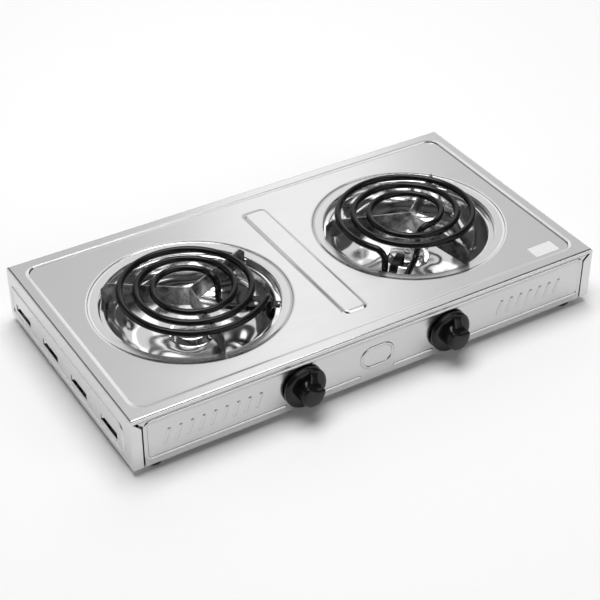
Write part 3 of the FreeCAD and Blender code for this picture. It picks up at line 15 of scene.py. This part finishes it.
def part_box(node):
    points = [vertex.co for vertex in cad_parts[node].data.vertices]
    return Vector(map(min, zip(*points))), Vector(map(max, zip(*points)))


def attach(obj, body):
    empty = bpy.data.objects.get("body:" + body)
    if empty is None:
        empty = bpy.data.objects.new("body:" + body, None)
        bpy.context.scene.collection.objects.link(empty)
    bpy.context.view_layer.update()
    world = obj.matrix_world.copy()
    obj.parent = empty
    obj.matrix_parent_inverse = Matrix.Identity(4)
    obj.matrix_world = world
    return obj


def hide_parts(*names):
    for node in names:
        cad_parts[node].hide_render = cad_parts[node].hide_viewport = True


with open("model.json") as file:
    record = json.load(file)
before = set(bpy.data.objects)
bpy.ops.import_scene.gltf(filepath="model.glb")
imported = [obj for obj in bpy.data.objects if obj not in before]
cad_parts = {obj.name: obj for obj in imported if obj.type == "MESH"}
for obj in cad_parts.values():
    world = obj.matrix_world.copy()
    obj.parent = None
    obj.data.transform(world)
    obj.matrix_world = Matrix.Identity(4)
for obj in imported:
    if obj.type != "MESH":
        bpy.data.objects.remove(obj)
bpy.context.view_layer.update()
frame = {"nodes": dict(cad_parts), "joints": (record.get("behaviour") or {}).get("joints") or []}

MM = 0.001
FULL_TURN = 2 * math.pi
SIDES = ("left", "right")


# ---------------------------------------------------------------------------------------------
# Shader maths
# ---------------------------------------------------------------------------------------------
class Value:
    """One output of a node. Arithmetic on it adds Math nodes to its material."""

    def __init__(self, finish, socket):
        self.finish = finish
        self.socket = socket

    def math(self, operation, *inputs):
        """Math node of one operation on these values."""
        return self.finish.node("ShaderNodeMath", {"operation": operation}, dict(enumerate(inputs)))

    def __add__(self, other):
        return self.math("ADD", self, other)

    def __sub__(self, other):
        return self.math("SUBTRACT", self, other)

    def __mul__(self, other):
        return self.math("MULTIPLY", self, other)

    def __rsub__(self, other):
        return self.math("SUBTRACT", other, self)

    def __gt__(self, other):
        return self.math("GREATER_THAN", self, other)

    __radd__ = __add__
    __rmul__ = __mul__

    def clamped(self):
        """Value held between 0 and 1."""
        return self.finish.node("ShaderNodeClamp", {}, {0: self})


class Finish:
    """One material: its node tree, and the method that adds any node to it."""

    def __init__(self, name, **constants):
        self.material = bpy.data.materials.new(name)
        self.material.use_nodes = True
        self.tree = self.material.node_tree
        self.shader = self.tree.nodes["Principled BSDF"]
        self.set(**constants)

    def node(self, kind, settings=None, inputs=None, out=0):
        """Add a node: settings first, then the values or links of its inputs."""
        made = self.tree.nodes.new(kind)
        for key, value in (settings or {}).items():
            setattr(made, key, value)
        for key, value in (inputs or {}).items():
            self.feed(made.inputs[key], value)
        return Value(self, made.outputs[out])

    def feed(self, socket, value):
        """Link a value to a socket, or set the socket to a constant."""
        if isinstance(value, Value):
            self.tree.links.new(value.socket, socket)
        else:
            socket.default_value = value

    def set(self, **inputs):
        """Feed the shader's own sockets, named with _ for spaces."""
        for key, value in inputs.items():
            self.feed(self.shader.inputs[key.replace("_", " ")], value)

    def place(self, centre=(0, 0, 0), scale=(1, 1, 1), turn=0.0):
        """Object coordinates about a centre, turned about Z, then stretched."""
        coordinates = self.node("ShaderNodeTexCoord", {}, {}, out="Object")
        shifted = self.node("ShaderNodeVectorMath", {"operation": "SUBTRACT"},
                            {0: coordinates, 1: tuple(centre)})
        return self.node("ShaderNodeMapping", {},
                         {"Vector": shifted, "Rotation": (0, 0, turn), "Scale": scale})

    def parts(self, vector):
        """X, Y and Z of a vector."""
        split = self.node("ShaderNodeSeparateXYZ", {}, {0: vector})
        return [Value(self, socket) for socket in split.socket.node.outputs]

    def noise(self, vector, scale, detail=3.0, roughness=0.5):
        """Noise from 0 to 1 about 0.5."""
        return self.node("ShaderNodeTexNoise", {}, {"Vector": vector, "Scale": scale,
                                                    "Detail": detail, "Roughness": roughness})

    def blend(self, share, first, second):
        """Colour that goes from the first to the second as share goes from 0 to 1."""
        return self.node("ShaderNodeMix", {"data_type": "RGBA"},
                         {0: share, 6: first, 7: second}, out=2)

    def bump(self, height, distance, strength=1.0):
        """Normal from a height in metres times distance."""
        return self.node("ShaderNodeBump", {}, {"Strength": strength, "Distance": distance,
                                                "Height": height})


def grey(level, tint=0.0):
    """Near-grey colour; a positive tint warms it."""
    return (level * (1 + tint), level, level * (1 - tint), 1)


# ---------------------------------------------------------------------------------------------
# Finishes
# ---------------------------------------------------------------------------------------------
def rounded_distance(across, along, half, corner):
    """Distance outside a rounded rectangle about the origin, negative inside."""
    u = across.math("ABSOLUTE", across) - (half[0] - corner)
    v = along.math("ABSOLUTE", along) - (half[1] - corner)
    u_out, v_out = u.math("MAXIMUM", u, 0.0), v.math("MAXIMUM", v, 0.0)
    squares = u_out * u_out + v_out * v_out
    inside = u.math("MAXIMUM", u, v)
    return squares.math("SQRT", squares) + inside.math("MINIMUM", inside, 0.0) - corner


def soft_step(distance, width):
    """0 to 1 as a distance crosses zero, eased over a width."""
    return distance.finish.node("ShaderNodeMapRange", {"interpolation_type": "SMOOTHSTEP"},
                                {0: distance, 1: -width / 2, 2: width / 2, 3: 0.0, 4: 1.0})


BORDER = 0.013
BORDER_CORNER = 0.013
STRIP_HALF = (0.012, 0.096)
STRIP_CORNER = 0.005
BAND_RADIUS = 0.0955
PLATE_ONLY = 0.004
FIELD_STEP = (0.0055, 0.0009)
STRIP_STEP = (0.005, 0.0009)
BAND_STEP = (0.005, 0.0007)


def pressed_steps(finish):
    """Height in metres of the top plate's soft pressed edges: field, strip and burner bands.

    Each step is a width over which it is eased and a height.  Below the plate it is 0.
    """
    low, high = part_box("body_shell")
    middle = ((low.x + high.x) / 2, (low.y + high.y) / 2, 0)
    x, y, z = finish.parts(finish.place(middle))
    field_half = ((high.x - low.x) / 2 - BORDER, (high.y - low.y) / 2 - BORDER)
    field = rounded_distance(x, y, field_half, BORDER_CORNER)
    strip = rounded_distance(x, y, STRIP_HALF, STRIP_CORNER)
    height = soft_step(field, FIELD_STEP[0]) * FIELD_STEP[1] \
        - soft_step(strip, STRIP_STEP[0]) * STRIP_STEP[1]
    for side in SIDES:
        bowl_low, bowl_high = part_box(f"drip_bowl_{side}")
        centre = ((bowl_low.x + bowl_high.x) / 2, (bowl_low.y + bowl_high.y) / 2, 0)
        u, v = finish.parts(finish.place(centre))[:2]
        squares = u * u + v * v
        ring = squares.math("SQRT", squares) - BAND_RADIUS
        height = height + soft_step(ring, BAND_STEP[0]) * BAND_STEP[1]
    return height * (z > high.z - PLATE_ONLY)


def brushed_steel(name, level, roughness, grain=(30, 900, 900), contrast=0.06, steps=False):
    """Rolled stainless sheet: fine grain along the sheet, slow clouding and faint wipe marks."""
    finish = Finish(name, Metallic=1.0)
    lines = finish.noise(finish.place(scale=grain), 1.0, 4.0, 0.6)
    clouds = finish.noise(finish.place(), 9.0, 2.0)
    wipes = finish.noise(finish.place(scale=(1, 2.6, 2.6), turn=0.5), 22.0, 3.0, 0.7)
    shade = (lines - 0.5) * contrast + (clouds - 0.5) * contrast
    finish.set(Base_Color=finish.blend((shade + 0.5).clamped(), grey(level - 0.2), grey(level + 0.2)),
               Roughness=roughness + (lines - 0.5) * 0.1 + (wipes - 0.5) * 0.08,
               Normal=finish.bump(lines * 0.000004 + (pressed_steps(finish) if steps else 0.0), 1.0))
    return finish.material


def polished_bowl(name, centre):
    """Polished chrome: faint spin rings about the bowl's axis and a light haze."""
    finish = Finish(name, Metallic=1.0)
    x, y = finish.parts(finish.place(centre))[:2]
    radius = (x * x + y * y).math("SQRT", x * x + y * y)
    rings = finish.node("ShaderNodeTexNoise", {"noise_dimensions": "1D"},
                        {"W": radius, "Scale": 900.0, "Detail": 2.0})
    haze = finish.noise(finish.place(), 30.0, 3.0, 0.6)
    waves = finish.noise(finish.place(scale=(1, 1, 1.6)), 30.0, 0.0)
    finish.set(Base_Color=finish.blend(haze, grey(0.76), grey(0.88)),
               Roughness=0.10 + (haze - 0.4).clamped() * 0.16,
               Normal=finish.bump(rings * 0.000002 + waves * 0.005, 1.0))
    return finish.material


def oxide_black(name):
    """Element sheath: near-black oxide, a little mottled and dusty, satin."""
    finish = Finish(name, Specular_IOR_Level=0.26)
    mottle = finish.noise(finish.place(), 160.0, 5.0, 0.65)
    patches = finish.noise(finish.place(), 28.0, 2.0)
    finish.set(Base_Color=finish.blend(mottle, grey(0.002), grey(0.009, 0.03)),
               Roughness=0.2 + (mottle - 0.5) * 0.2 + (patches - 0.5) * 0.12,
               Normal=finish.bump(mottle, 0.00005, 0.5))
    return finish.material


def stamped_steel(name, level, roughness=0.38):
    """Cut and bent sheet: mottled, rubbed and a little stained."""
    finish = Finish(name, Metallic=1.0)
    stains = finish.noise(finish.place(), 70.0, 5.0, 0.7)
    rub = finish.noise(finish.place(scale=(1, 1, 6)), 180.0, 3.0)
    patchy = ((stains - 0.38) * 4.0).clamped()
    finish.set(Base_Color=finish.blend(patchy, grey(level * 0.35), grey(level * 1.7)),
               Roughness=roughness + (rub - 0.5) * 0.3,
               Normal=finish.bump(rub, 0.00004, 0.4))
    return finish.material


def moulded(name, colour, roughness, fleck=0.5, specular=0.5):
    """Moulded plastic or rubber: a fine pebbled skin and slightly uneven gloss."""
    finish = Finish(name, Specular_IOR_Level=specular)
    pebble = finish.noise(finish.place(), 1400.0, 2.0)
    wear = finish.noise(finish.place(), 60.0, 4.0, 0.6)
    light = tuple(min(1.0, part * (1 + fleck) + 0.004) for part in colour[:3]) + (1,)
    finish.set(Base_Color=finish.blend(wear, colour, light),
               Roughness=roughness + (wear - 0.5) * 0.18,
               Normal=finish.bump(pebble, 0.00002, 0.3))
    return finish.material


def turned_metal(name, colour, roughness):
    """Small turned or drawn metal piece with fine tool marks."""
    finish = Finish(name, Metallic=1.0)
    marks = finish.noise(finish.place(scale=(1, 1, 5)), 700.0, 2.0)
    tarnish = finish.noise(finish.place(), 120.0, 3.0)
    dull = tuple(part * 0.6 for part in colour[:3]) + (1,)
    finish.set(Base_Color=finish.blend(tarnish, dull, colour),
               Roughness=roughness + (marks - 0.5) * 0.2,
               Normal=finish.bump(marks, 0.00002, 0.4))
    return finish.material


def blank_label(name):
    """Pale film with faint fibres and nothing printed on it."""
    finish = Finish(name, Coat_Weight=0.4, Coat_Roughness=0.15)
    fibre = finish.noise(finish.place(), 500.0, 2.0)
    finish.set(Base_Color=finish.blend(fibre, grey(0.72), grey(0.8)),
               Roughness=0.35 + (fibre - 0.5) * 0.1)
    return finish.material


def make_finishes():
    """Material of each slot of the record; the bowls' own are made with the bowls."""
    return {
        "shell_steel": brushed_steel("shell_steel_satin", 0.66, 0.24, steps=True),
        "panel_steel": brushed_steel("panel_steel_satin", 0.6, 0.2, contrast=0.03),
        "base_steel": stamped_steel("base_zinc", 0.5, 0.45),
        "element_black": oxide_black("element_oxide"),
        # Support sheet at a low level: painted shade, made darker to stand for the heavy shadow that
        # falls on it under the element.
        "support_steel": stamped_steel("support_sheet_painted_shade", 0.24, 0.34),
        "fastener_steel": turned_metal("fastener_zinc", (0.6, 0.6, 0.6, 1), 0.3),
        "spring_steel": turned_metal("spring_blued", (0.4, 0.41, 0.44, 1), 0.3),
        "brass": turned_metal("plain_brass", (0.75, 0.58, 0.28, 1), 0.28),
        "ceramic": moulded("glazed_ceramic", (0.78, 0.76, 0.71, 1), 0.35, 0.05),
        "control_plastic": moulded("control_moulding", (0.03, 0.03, 0.032, 1), 0.5),
        "knob_black": moulded("knob_gloss", (0.003, 0.003, 0.003, 1), 0.18, 0.6, 0.3),
        "rubber": moulded("foot_rubber", (0.012, 0.012, 0.012, 1), 0.7, 0.8),
        "label_paper": blank_label("label_film"),
        "wire_blue": moulded("sleeve_blue", (0.03, 0.09, 0.45, 1), 0.45, 0.1),
        "wire_brown": moulded("sleeve_brown", (0.13, 0.05, 0.02, 1), 0.45, 0.1),
        "wire_white": moulded("sleeve_white", (0.7, 0.7, 0.68, 1), 0.45, 0.05),
    }


# ---------------------------------------------------------------------------------------------
# Mesh makers
# ---------------------------------------------------------------------------------------------
def make_object(name, points, faces, smooth_angle=40.0):
    """Object from an array of points and an array of quads, shaded smooth below an angle."""
    mesh = bpy.data.meshes.new(name)
    mesh.from_pydata(points.reshape(-1, 3).tolist(), [], faces.tolist())
    mesh.validate()
    mesh.update()
    made = bpy.data.objects.new(name, mesh)
    bpy.context.scene.collection.objects.link(made)
    mesh.shade_smooth()
    mesh.set_sharp_from_angle(angle=math.radians(smooth_angle))
    return made


def rounded_line(corners, radii, steps=8):
    """Line through corners in a plane, each corner turned into an arc of its radius."""
    corners = np.asarray(corners, float)
    out = [corners[0]]
    angles = np.linspace(0, 1, steps + 1)[:, None]
    for before, at, after, radius in zip(corners, corners[1:], corners[2:], radii):
        arriving = (at - before) / np.linalg.norm(at - before)
        leaving = (after - at) / np.linalg.norm(after - at)
        half = np.arccos(np.clip(arriving @ leaving, -1, 1)) / 2
        inward = (leaving - arriving) / np.linalg.norm(leaving - arriving)
        centre = at + inward * radius / math.cos(half)
        start = (at - arriving * radius * math.tan(half) - centre) / radius
        end = (at + leaving * radius * math.tan(half) - centre) / radius
        arc = (np.sin((1 - angles) * 2 * half) * start + np.sin(angles * 2 * half) * end)
        out.extend(centre + radius * arc / math.sin(2 * half))
    out.append(corners[-1])
    return np.array(out)


def fill_in(line, spacing):
    """Add evenly spaced points on the straight stretches of a line that are longer than spacing."""
    pieces = []
    for start, end in zip(line, line[1:]):
        count = max(1, int(np.linalg.norm(end - start) / spacing))
        pieces.append(start + (end - start) * np.arange(count)[:, None] / count)
    return np.vstack(pieces + [line[-1:]])


def cell_corners(rows, columns, wraps):
    """Vertex numbers of every cell of a grid, four to a cell, in order round it."""
    wide = columns if wraps else columns + 1
    number = np.arange((rows + 1) * wide).reshape(rows + 1, wide)
    left = number if wraps else number[:, :-1]
    right = np.roll(number, -1, axis=1) if wraps else number[:, 1:]
    return np.stack([left[:-1], right[:-1], right[1:], left[1:]], axis=-1)


def used_only(points, faces):
    """Points and faces without the points that no face uses."""
    used, renumbered = np.unique(faces, return_inverse=True)
    return points[used], renumbered.reshape(faces.shape)


def outward(points, faces):
    """Faces turned so that the closed surface they make has a positive volume."""
    corners = points[faces]
    volume = sum(np.einsum("ij,ij->", corners[:, 0], np.cross(corners[:, a], corners[:, b]))
                 for a, b in ((1, 2), (2, 3)))
    return faces if volume > 0 else faces[:, ::-1]


def sheet_solid(outer, inner, keep, wraps=True):
    """Closed sheet between two grids of points.

    Cells where keep is false are left open, and every open edge is joined from skin to skin.
    """
    corners = cell_corners(*keep.shape, wraps)
    far = outer.shape[0] * outer.shape[1]
    faces = [corners[keep], corners[keep][:, ::-1] + far]
    padded = np.pad(keep, 1)
    if wraps:
        padded[1:-1, 0], padded[1:-1, -1] = keep[:, -1], keep[:, 0]
    beyond = (padded[:-2, 1:-1], padded[1:-1, 2:], padded[2:, 1:-1], padded[1:-1, :-2])
    for edge, neighbour in enumerate(beyond):
        rim = keep & ~neighbour
        near, next_one = corners[..., edge][rim], corners[..., (edge + 1) % 4][rim]
        faces.append(np.stack([next_one, near, near + far, next_one + far], axis=-1))
    points = np.vstack([outer.reshape(-1, 3), inner.reshape(-1, 3)])
    points, faces = used_only(points, np.vstack(faces))
    return points, outward(points, faces)


def closed_grid(grid):
    """Closed surface from rows that run round; the first and last rows are single points."""
    corners = cell_corners(grid.shape[0] - 1, grid.shape[1], True).reshape(-1, 4)
    points = grid.reshape(-1, 3)
    return points, outward(points, corners)


def joined(*solids):
    """Several (points, faces) as one."""
    offsets = np.cumsum([0] + [len(points) for points, faces in solids[:-1]])
    return (np.vstack([points for points, faces in solids]),
            np.vstack([faces + offset for (points, faces), offset in zip(solids, offsets)]))


def merge_poles(made):
    """Join points that lie on each other, so that poles and seams are closed."""
    mesh = made.data
    work = bmesh.new()
    work.from_mesh(mesh)
    bmesh.ops.remove_doubles(work, verts=work.verts, dist=1e-6)
    work.to_mesh(mesh)
    work.free()
    return made


def add_piece(made, body, slot, material, *nodes):
    """Give a piece its material and its body and hide the CAD nodes that it stands for; slot is not
    used.
    """
    made.data.materials.append(material)
    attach(made, body)
    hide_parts(*nodes)
    return made


# ---------------------------------------------------------------------------------------------
# Drip bowls
# ---------------------------------------------------------------------------------------------
BOWL_SHEET = 0.5 * MM
FLANGE_WIDTH = 9 * MM
LEDGE_WIDTH = 5.5 * MM
LEDGE_DROP = 3.3 * MM
WALL_LEAN = 3.6 * MM
BOSS_FOOT = 22 * MM
BOSS_RADIUS = 17 * MM
BOSS_RISE = 5 * MM
BOSS_HOLE = 2 * MM
BOWL_BENDS = np.array((1.2, 0.9, 1.4, 30, 2.5, 2.5)) * MM
WINDOW_SPAN = (-5.1, 15.6)
WINDOW_STEPS = 18
WINDOW_OUTSIDE = 0.06
WINDOW_ABOVE_FLOOR = 15 * MM
WINDOW_BELOW_FLANGE = 5 * MM


def bowl_line(outer, low, high):
    """Middle of the bowl's sheet as (radius, height): flange, neck, ledge, wall, floor, boss."""
    top = high - BOWL_SHEET / 2
    floor = low + BOWL_SHEET / 2
    neck = outer - FLANGE_WIDTH
    wall = neck - LEDGE_WIDTH
    ledge = top - LEDGE_DROP
    boss = floor + BOSS_RISE
    corners = [(outer, top), (neck, top), (neck, ledge), (wall, ledge), (wall - WALL_LEAN, floor),
               (BOSS_FOOT, floor), (BOSS_RADIUS, boss), (BOSS_HOLE, boss)]
    line = rounded_line(corners, BOWL_BENDS, steps=20)
    return fill_in(line, 1.5 * MM)


def drip_bowl(side, turn):
    """Bowl turned about its axis: point = centre + (r cos a, r sin a, z) for (r, z) on its line.

    The wall is left open over the window that the element's leads pass through.
    """
    node = f"drip_bowl_{side}"
    low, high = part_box(node)
    centre = Vector(((low.x + high.x) / 2, (low.y + high.y) / 2, 0))
    line = bowl_line((high.x - low.x) / 2, low.z, high.z)
    slope = np.gradient(line, axis=0)
    normal = np.stack([-slope[:, 1], slope[:, 0]], axis=1) / np.linalg.norm(slope, axis=1)[:, None]
    window = np.radians(WINDOW_SPAN) + math.radians(turn)
    angle = np.concatenate([np.linspace(*window, WINDOW_STEPS, endpoint=False),
                            np.linspace(window[1], window[0] + FULL_TURN, 270, endpoint=False)])
    skins = []
    for share in (0.5, -0.5):
        radius, height = (line + normal * BOWL_SHEET * share).T
        skins.append(np.stack([centre.x + np.outer(radius, np.cos(angle)),
                               centre.y + np.outer(radius, np.sin(angle)),
                               np.repeat(height[:, None], len(angle), axis=1)], axis=-1))
    keep = np.ones((len(line) - 1, len(angle)), bool)
    radius, height = line[:-1].T
    wall = (radius > WINDOW_OUTSIDE) & (height > low.z + WINDOW_ABOVE_FLOOR) \
        & (height < high.z - WINDOW_BELOW_FLANGE)
    keep[np.ix_(wall, np.arange(len(angle)) < WINDOW_STEPS)] = False
    made = make_object(f"bowl_{side}", *sheet_solid(*skins, keep))
    add_piece(made, "housing", "bowl_chrome", polished_bowl(f"bowl_chrome_{side}", centre), node)


# ---------------------------------------------------------------------------------------------
# Knobs, in millimetres across, up and outward about their own axis
# ---------------------------------------------------------------------------------------------
SKIRT_RADIUS = 21.2
SKIRT_FACE = 5.5
GRIP_FRONT = 19.6
GRIP_HALF = 11.0
GRIP_TOP = 11.0
GRIP_BOTTOM = 11.6
GRIP_EDGE = 0.24
GRIP_DOME = 0.7
GRIP_ROUNDING = 2.4
DISH_DEPTH = 4.6
DISH_HALF = 10.2
SKIRT_RIM_FACE = 2.9
SKIRT_ROUND_START = 16.2
SKIRT_ROUND_WIDTH = 5
BORE_RADIUS = 3.02
BORE_DEPTH = 16.0
RAMP_HALF = 5.6
RAMP_WAIST = 1.3
RAMP_LOW = 4.6
RAMP_START, RAMP_END = 19.6, 9.4
RAMP_TOP, RAMP_RISE = 5.9, 6.2


def skirt_face(radius):
    """Height of the skirt: level inside, a quarter ellipse down to its rim."""
    edge = np.clip((radius - SKIRT_ROUND_START) / SKIRT_ROUND_WIDTH, 0, 1)
    return SKIRT_RIM_FACE + (SKIRT_FACE - SKIRT_RIM_FACE) * np.sqrt(1 - edge ** 2)


def grip_height(share):
    """Height of the grip by share of the way out to its wall: slightly domed, rounded at the edge."""
    edge = np.clip((share - 1 + GRIP_EDGE) / GRIP_EDGE, 0, 1)
    return GRIP_FRONT - GRIP_DOME * share ** 2 - GRIP_ROUNDING * (1 - np.sqrt(1 - edge ** 2))


def knob_grid():
    """Rows from the bore's end, over the back and the skirt, up the grip's wall to its middle.

    A row runs round the axis.  The grip's outline is 1 / ((sin/a)^p + (cos/b)^p)^(1/p) from the
    axis, squarer above than below.  Its top wall is dished: a parabola across, eased in from
    the foot to the front.
    """
    angle = np.linspace(0, FULL_TURN, 288, endpoint=False)
    sine, cosine = np.sin(angle), np.cos(angle)
    power = np.where(cosine > 0, 3.0, 2.2)
    reach = np.where(cosine > 0, GRIP_TOP, GRIP_BOTTOM)
    outline = (np.abs(sine / GRIP_HALF) ** power + np.abs(cosine / reach) ** power) ** (-1 / power)
    back = np.array([(0, BORE_DEPTH), (BORE_RADIUS, BORE_DEPTH), (BORE_RADIUS, 0.6), (9.6, 0.6),
                     (9.6, 3.2), (19.8, 3.2), (20.1, 0.3), (20.3, 0), (20.8, 0), (21.1, 0.3),
                     (SKIRT_RADIUS, 0.8)])
    rows = [np.stack([r * sine, r * cosine, np.full_like(angle, w)], axis=-1) for r, w in back]
    for share in np.linspace(0, 1, 30) ** 1.6:
        radius = SKIRT_RADIUS + (outline - SKIRT_RADIUS) * share
        rows.append(np.stack([radius * sine, radius * cosine, skirt_face(radius)], axis=-1))
    across, up = outline * sine, outline * cosine
    foot, head = skirt_face(outline), grip_height(1.0)
    dish = DISH_DEPTH * np.clip(1 - (across / DISH_HALF) ** 2, 0, 1) * (up > 0)
    for share in np.linspace(0, 1, 40)[1:]:
        ease = np.clip((share - 0.2) / 0.7, 0, 1)
        opened = ease ** 2 * (3 - 2 * ease)
        rows.append(np.stack([across, up - dish * opened, foot + (head - foot) * share], axis=-1))
    for share in np.linspace(1, 0, 64)[1:] ** 0.6:
        rows.append(np.stack([across * share, (up - dish) * share,
                              np.full_like(angle, grip_height(share))], axis=-1))
    return np.array(rows)


def pointer_grid():
    """Ramp from the skirt's rim up to the grip: a squared oval section, waisted along its length."""
    along = np.linspace(0, 1, 40)
    angle = np.linspace(0, FULL_TURN, 64, endpoint=False)
    half = RAMP_HALF - RAMP_WAIST * np.sin(math.pi * along)
    top = RAMP_TOP + RAMP_RISE * along ** 1.25
    power = 2 / 6
    section_u = np.sign(np.cos(angle)) * np.abs(np.cos(angle)) ** power
    section_w = np.sign(np.sin(angle)) * np.abs(np.sin(angle)) ** power
    up = RAMP_START + (RAMP_END - RAMP_START) * along
    middle, thick = (top + RAMP_LOW) / 2, (top - RAMP_LOW) / 2
    grid = np.stack([np.outer(half, section_u), np.outer(up, np.ones_like(angle)),
                     middle[:, None] + np.outer(thick, section_w)], axis=-1)
    ends = [np.broadcast_to(row.mean(axis=0), row.shape)[None] for row in (grid[0], grid[-1])]
    return np.vstack([ends[0], grid, ends[1]])


def knob(side, turn, slot, material):
    """Knob laid against the front panel, its pointer turned clockwise from upright."""
    joint = next(j for j in frame["joints"] if j["child"] == f"{side}_dial")
    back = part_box(f"knob_{side}")[1].y
    axis = np.array((joint["pos_m"][0], back, joint["pos_m"][2]))
    lean = math.radians(turn)
    across = np.array((math.cos(lean), 0, -math.sin(lean)))
    up = np.array((math.sin(lean), 0, math.cos(lean)))
    points, faces = joined(closed_grid(knob_grid()), closed_grid(pointer_grid()))
    laid = axis + MM * (points[:, :1] * across + points[:, 1:2] * up
                        - points[:, 2:] * np.array((0, 1, 0)))
    made = merge_poles(make_object(f"knob_shape_{side}", laid, faces, 50))
    add_piece(made, f"{side}_dial", slot, material, f"knob_{side}")


# ---------------------------------------------------------------------------------------------
# Floor, camera and lights
# ---------------------------------------------------------------------------------------------
TARGET = Vector((-0.03727, -0.04677, 0.062))
AZIMUTH = math.radians(-31.307)
ELEVATION = math.radians(36.286)
ROLL = math.radians(0.0998)
DISTANCE = 1.45423
SENSOR_WIDTH = 36
LENS = 93.98
FLOOR_HALF = 12


def make_floor():
    """Pale floor with a very slow change of tone."""
    steps = np.linspace(-FLOOR_HALF, FLOOR_HALF, 9)
    x, y = np.meshgrid(steps, steps)
    points = np.stack([x, y, np.zeros_like(x)], axis=-1)
    corners = cell_corners(8, 8, False).reshape(-1, 4)
    floor = make_object("floor", points, corners)
    finish = Finish("floor_paint", Roughness=0.9)
    tone = finish.noise(finish.place(), 0.7, 2.0)
    finish.set(Base_Color=finish.blend(tone, grey(0.93), grey(0.96)))
    floor.data.materials.append(finish.material)


def make_camera():
    """Camera at the object's front left, looking down at it."""
    back = Vector((math.sin(AZIMUTH) * math.cos(ELEVATION), -math.cos(AZIMUTH) * math.cos(ELEVATION),
                   math.sin(ELEVATION)))
    right = (-back).cross(Vector((0, 0, 1))).normalized()
    up = right.cross(-back)
    right, up = (math.cos(ROLL) * right + math.sin(ROLL) * up,
                 math.cos(ROLL) * up - math.sin(ROLL) * right)
    data = bpy.data.cameras.new("camera")
    data.sensor_width = SENSOR_WIDTH
    data.lens = LENS
    camera = bpy.data.objects.new("camera", data)
    bpy.context.scene.collection.objects.link(camera)
    turned = Matrix((right, up, back)).transposed().to_4x4()
    camera.matrix_world = Matrix.Translation(TARGET + back * DISTANCE) @ turned
    bpy.context.scene.camera = camera


def softbox(name, azimuth, elevation, distance, size, radiance):
    """Area light that faces the object from a direction; azimuth is clockwise from +Y."""
    turn, lift = math.radians(azimuth), math.radians(elevation)
    way = Vector((math.sin(turn) * math.cos(lift), math.cos(turn) * math.cos(lift), math.sin(lift)))
    data = bpy.data.lights.new(name, "AREA")
    data.shape = "RECTANGLE"
    data.size, data.size_y = size
    data.energy = radiance * math.pi * size[0] * size[1]
    light = bpy.data.objects.new(name, data)
    bpy.context.scene.collection.objects.link(light)
    light.location = way * distance
    light.rotation_mode = "QUATERNION"
    light.rotation_quaternion = way.to_track_quat("Z", "Y")


def make_lights():
    """Softboxes and a dark surround."""
    softbox("light_behind", 31, 28, 2.6, (3.2, 2.3), 0.68)
    softbox("light_behind_middle", 31, 35, 2.5, (0.5, 1.3), 0.6)
    softbox("light_low_behind", 50, 12, 2.6, (0.7, 0.5), 1.0)
    softbox("light_above", -20, 84, 2.4, (2.2, 1.5), 5.3)
    softbox("light_left", -58, 16, 2.8, (2.2, 1.1), 0.85)
    softbox("light_front", 160, 24, 3.0, (2.8, 1.3), 1.7)
    world = bpy.data.worlds.new("surround")
    world.use_nodes = True
    background = world.node_tree.nodes["Background"]
    background.inputs["Color"].default_value = (0.07, 0.07, 0.07, 1)
    background.inputs["Strength"].default_value = 1.0
    bpy.context.scene.world = world
    bpy.context.scene.view_settings.view_transform = "Standard"


# ---------------------------------------------------------------------------------------------
# The whole scene
# ---------------------------------------------------------------------------------------------
LEAD_TURNS = {"left": -36.0, "right": -141.0}
POINTER_TURNS = {"left": 23.0, "right": 14.0}


def carry_over(finishes):
    """Give every CAD node the finish of the slot that its mesh names."""
    for node in frame["nodes"].values():
        slot = node.data.materials[0].name
        if slot in finishes:
            node.material_slots[0].material = finishes[slot]


def main():
    """Build everything."""
    finishes = make_finishes()
    carry_over(finishes)
    for side in SIDES:
        drip_bowl(side, LEAD_TURNS[side])
        knob(side, POINTER_TURNS[side], "knob_black", finishes["knob_black"])
    make_floor()
    make_camera()
    make_lights()


main()
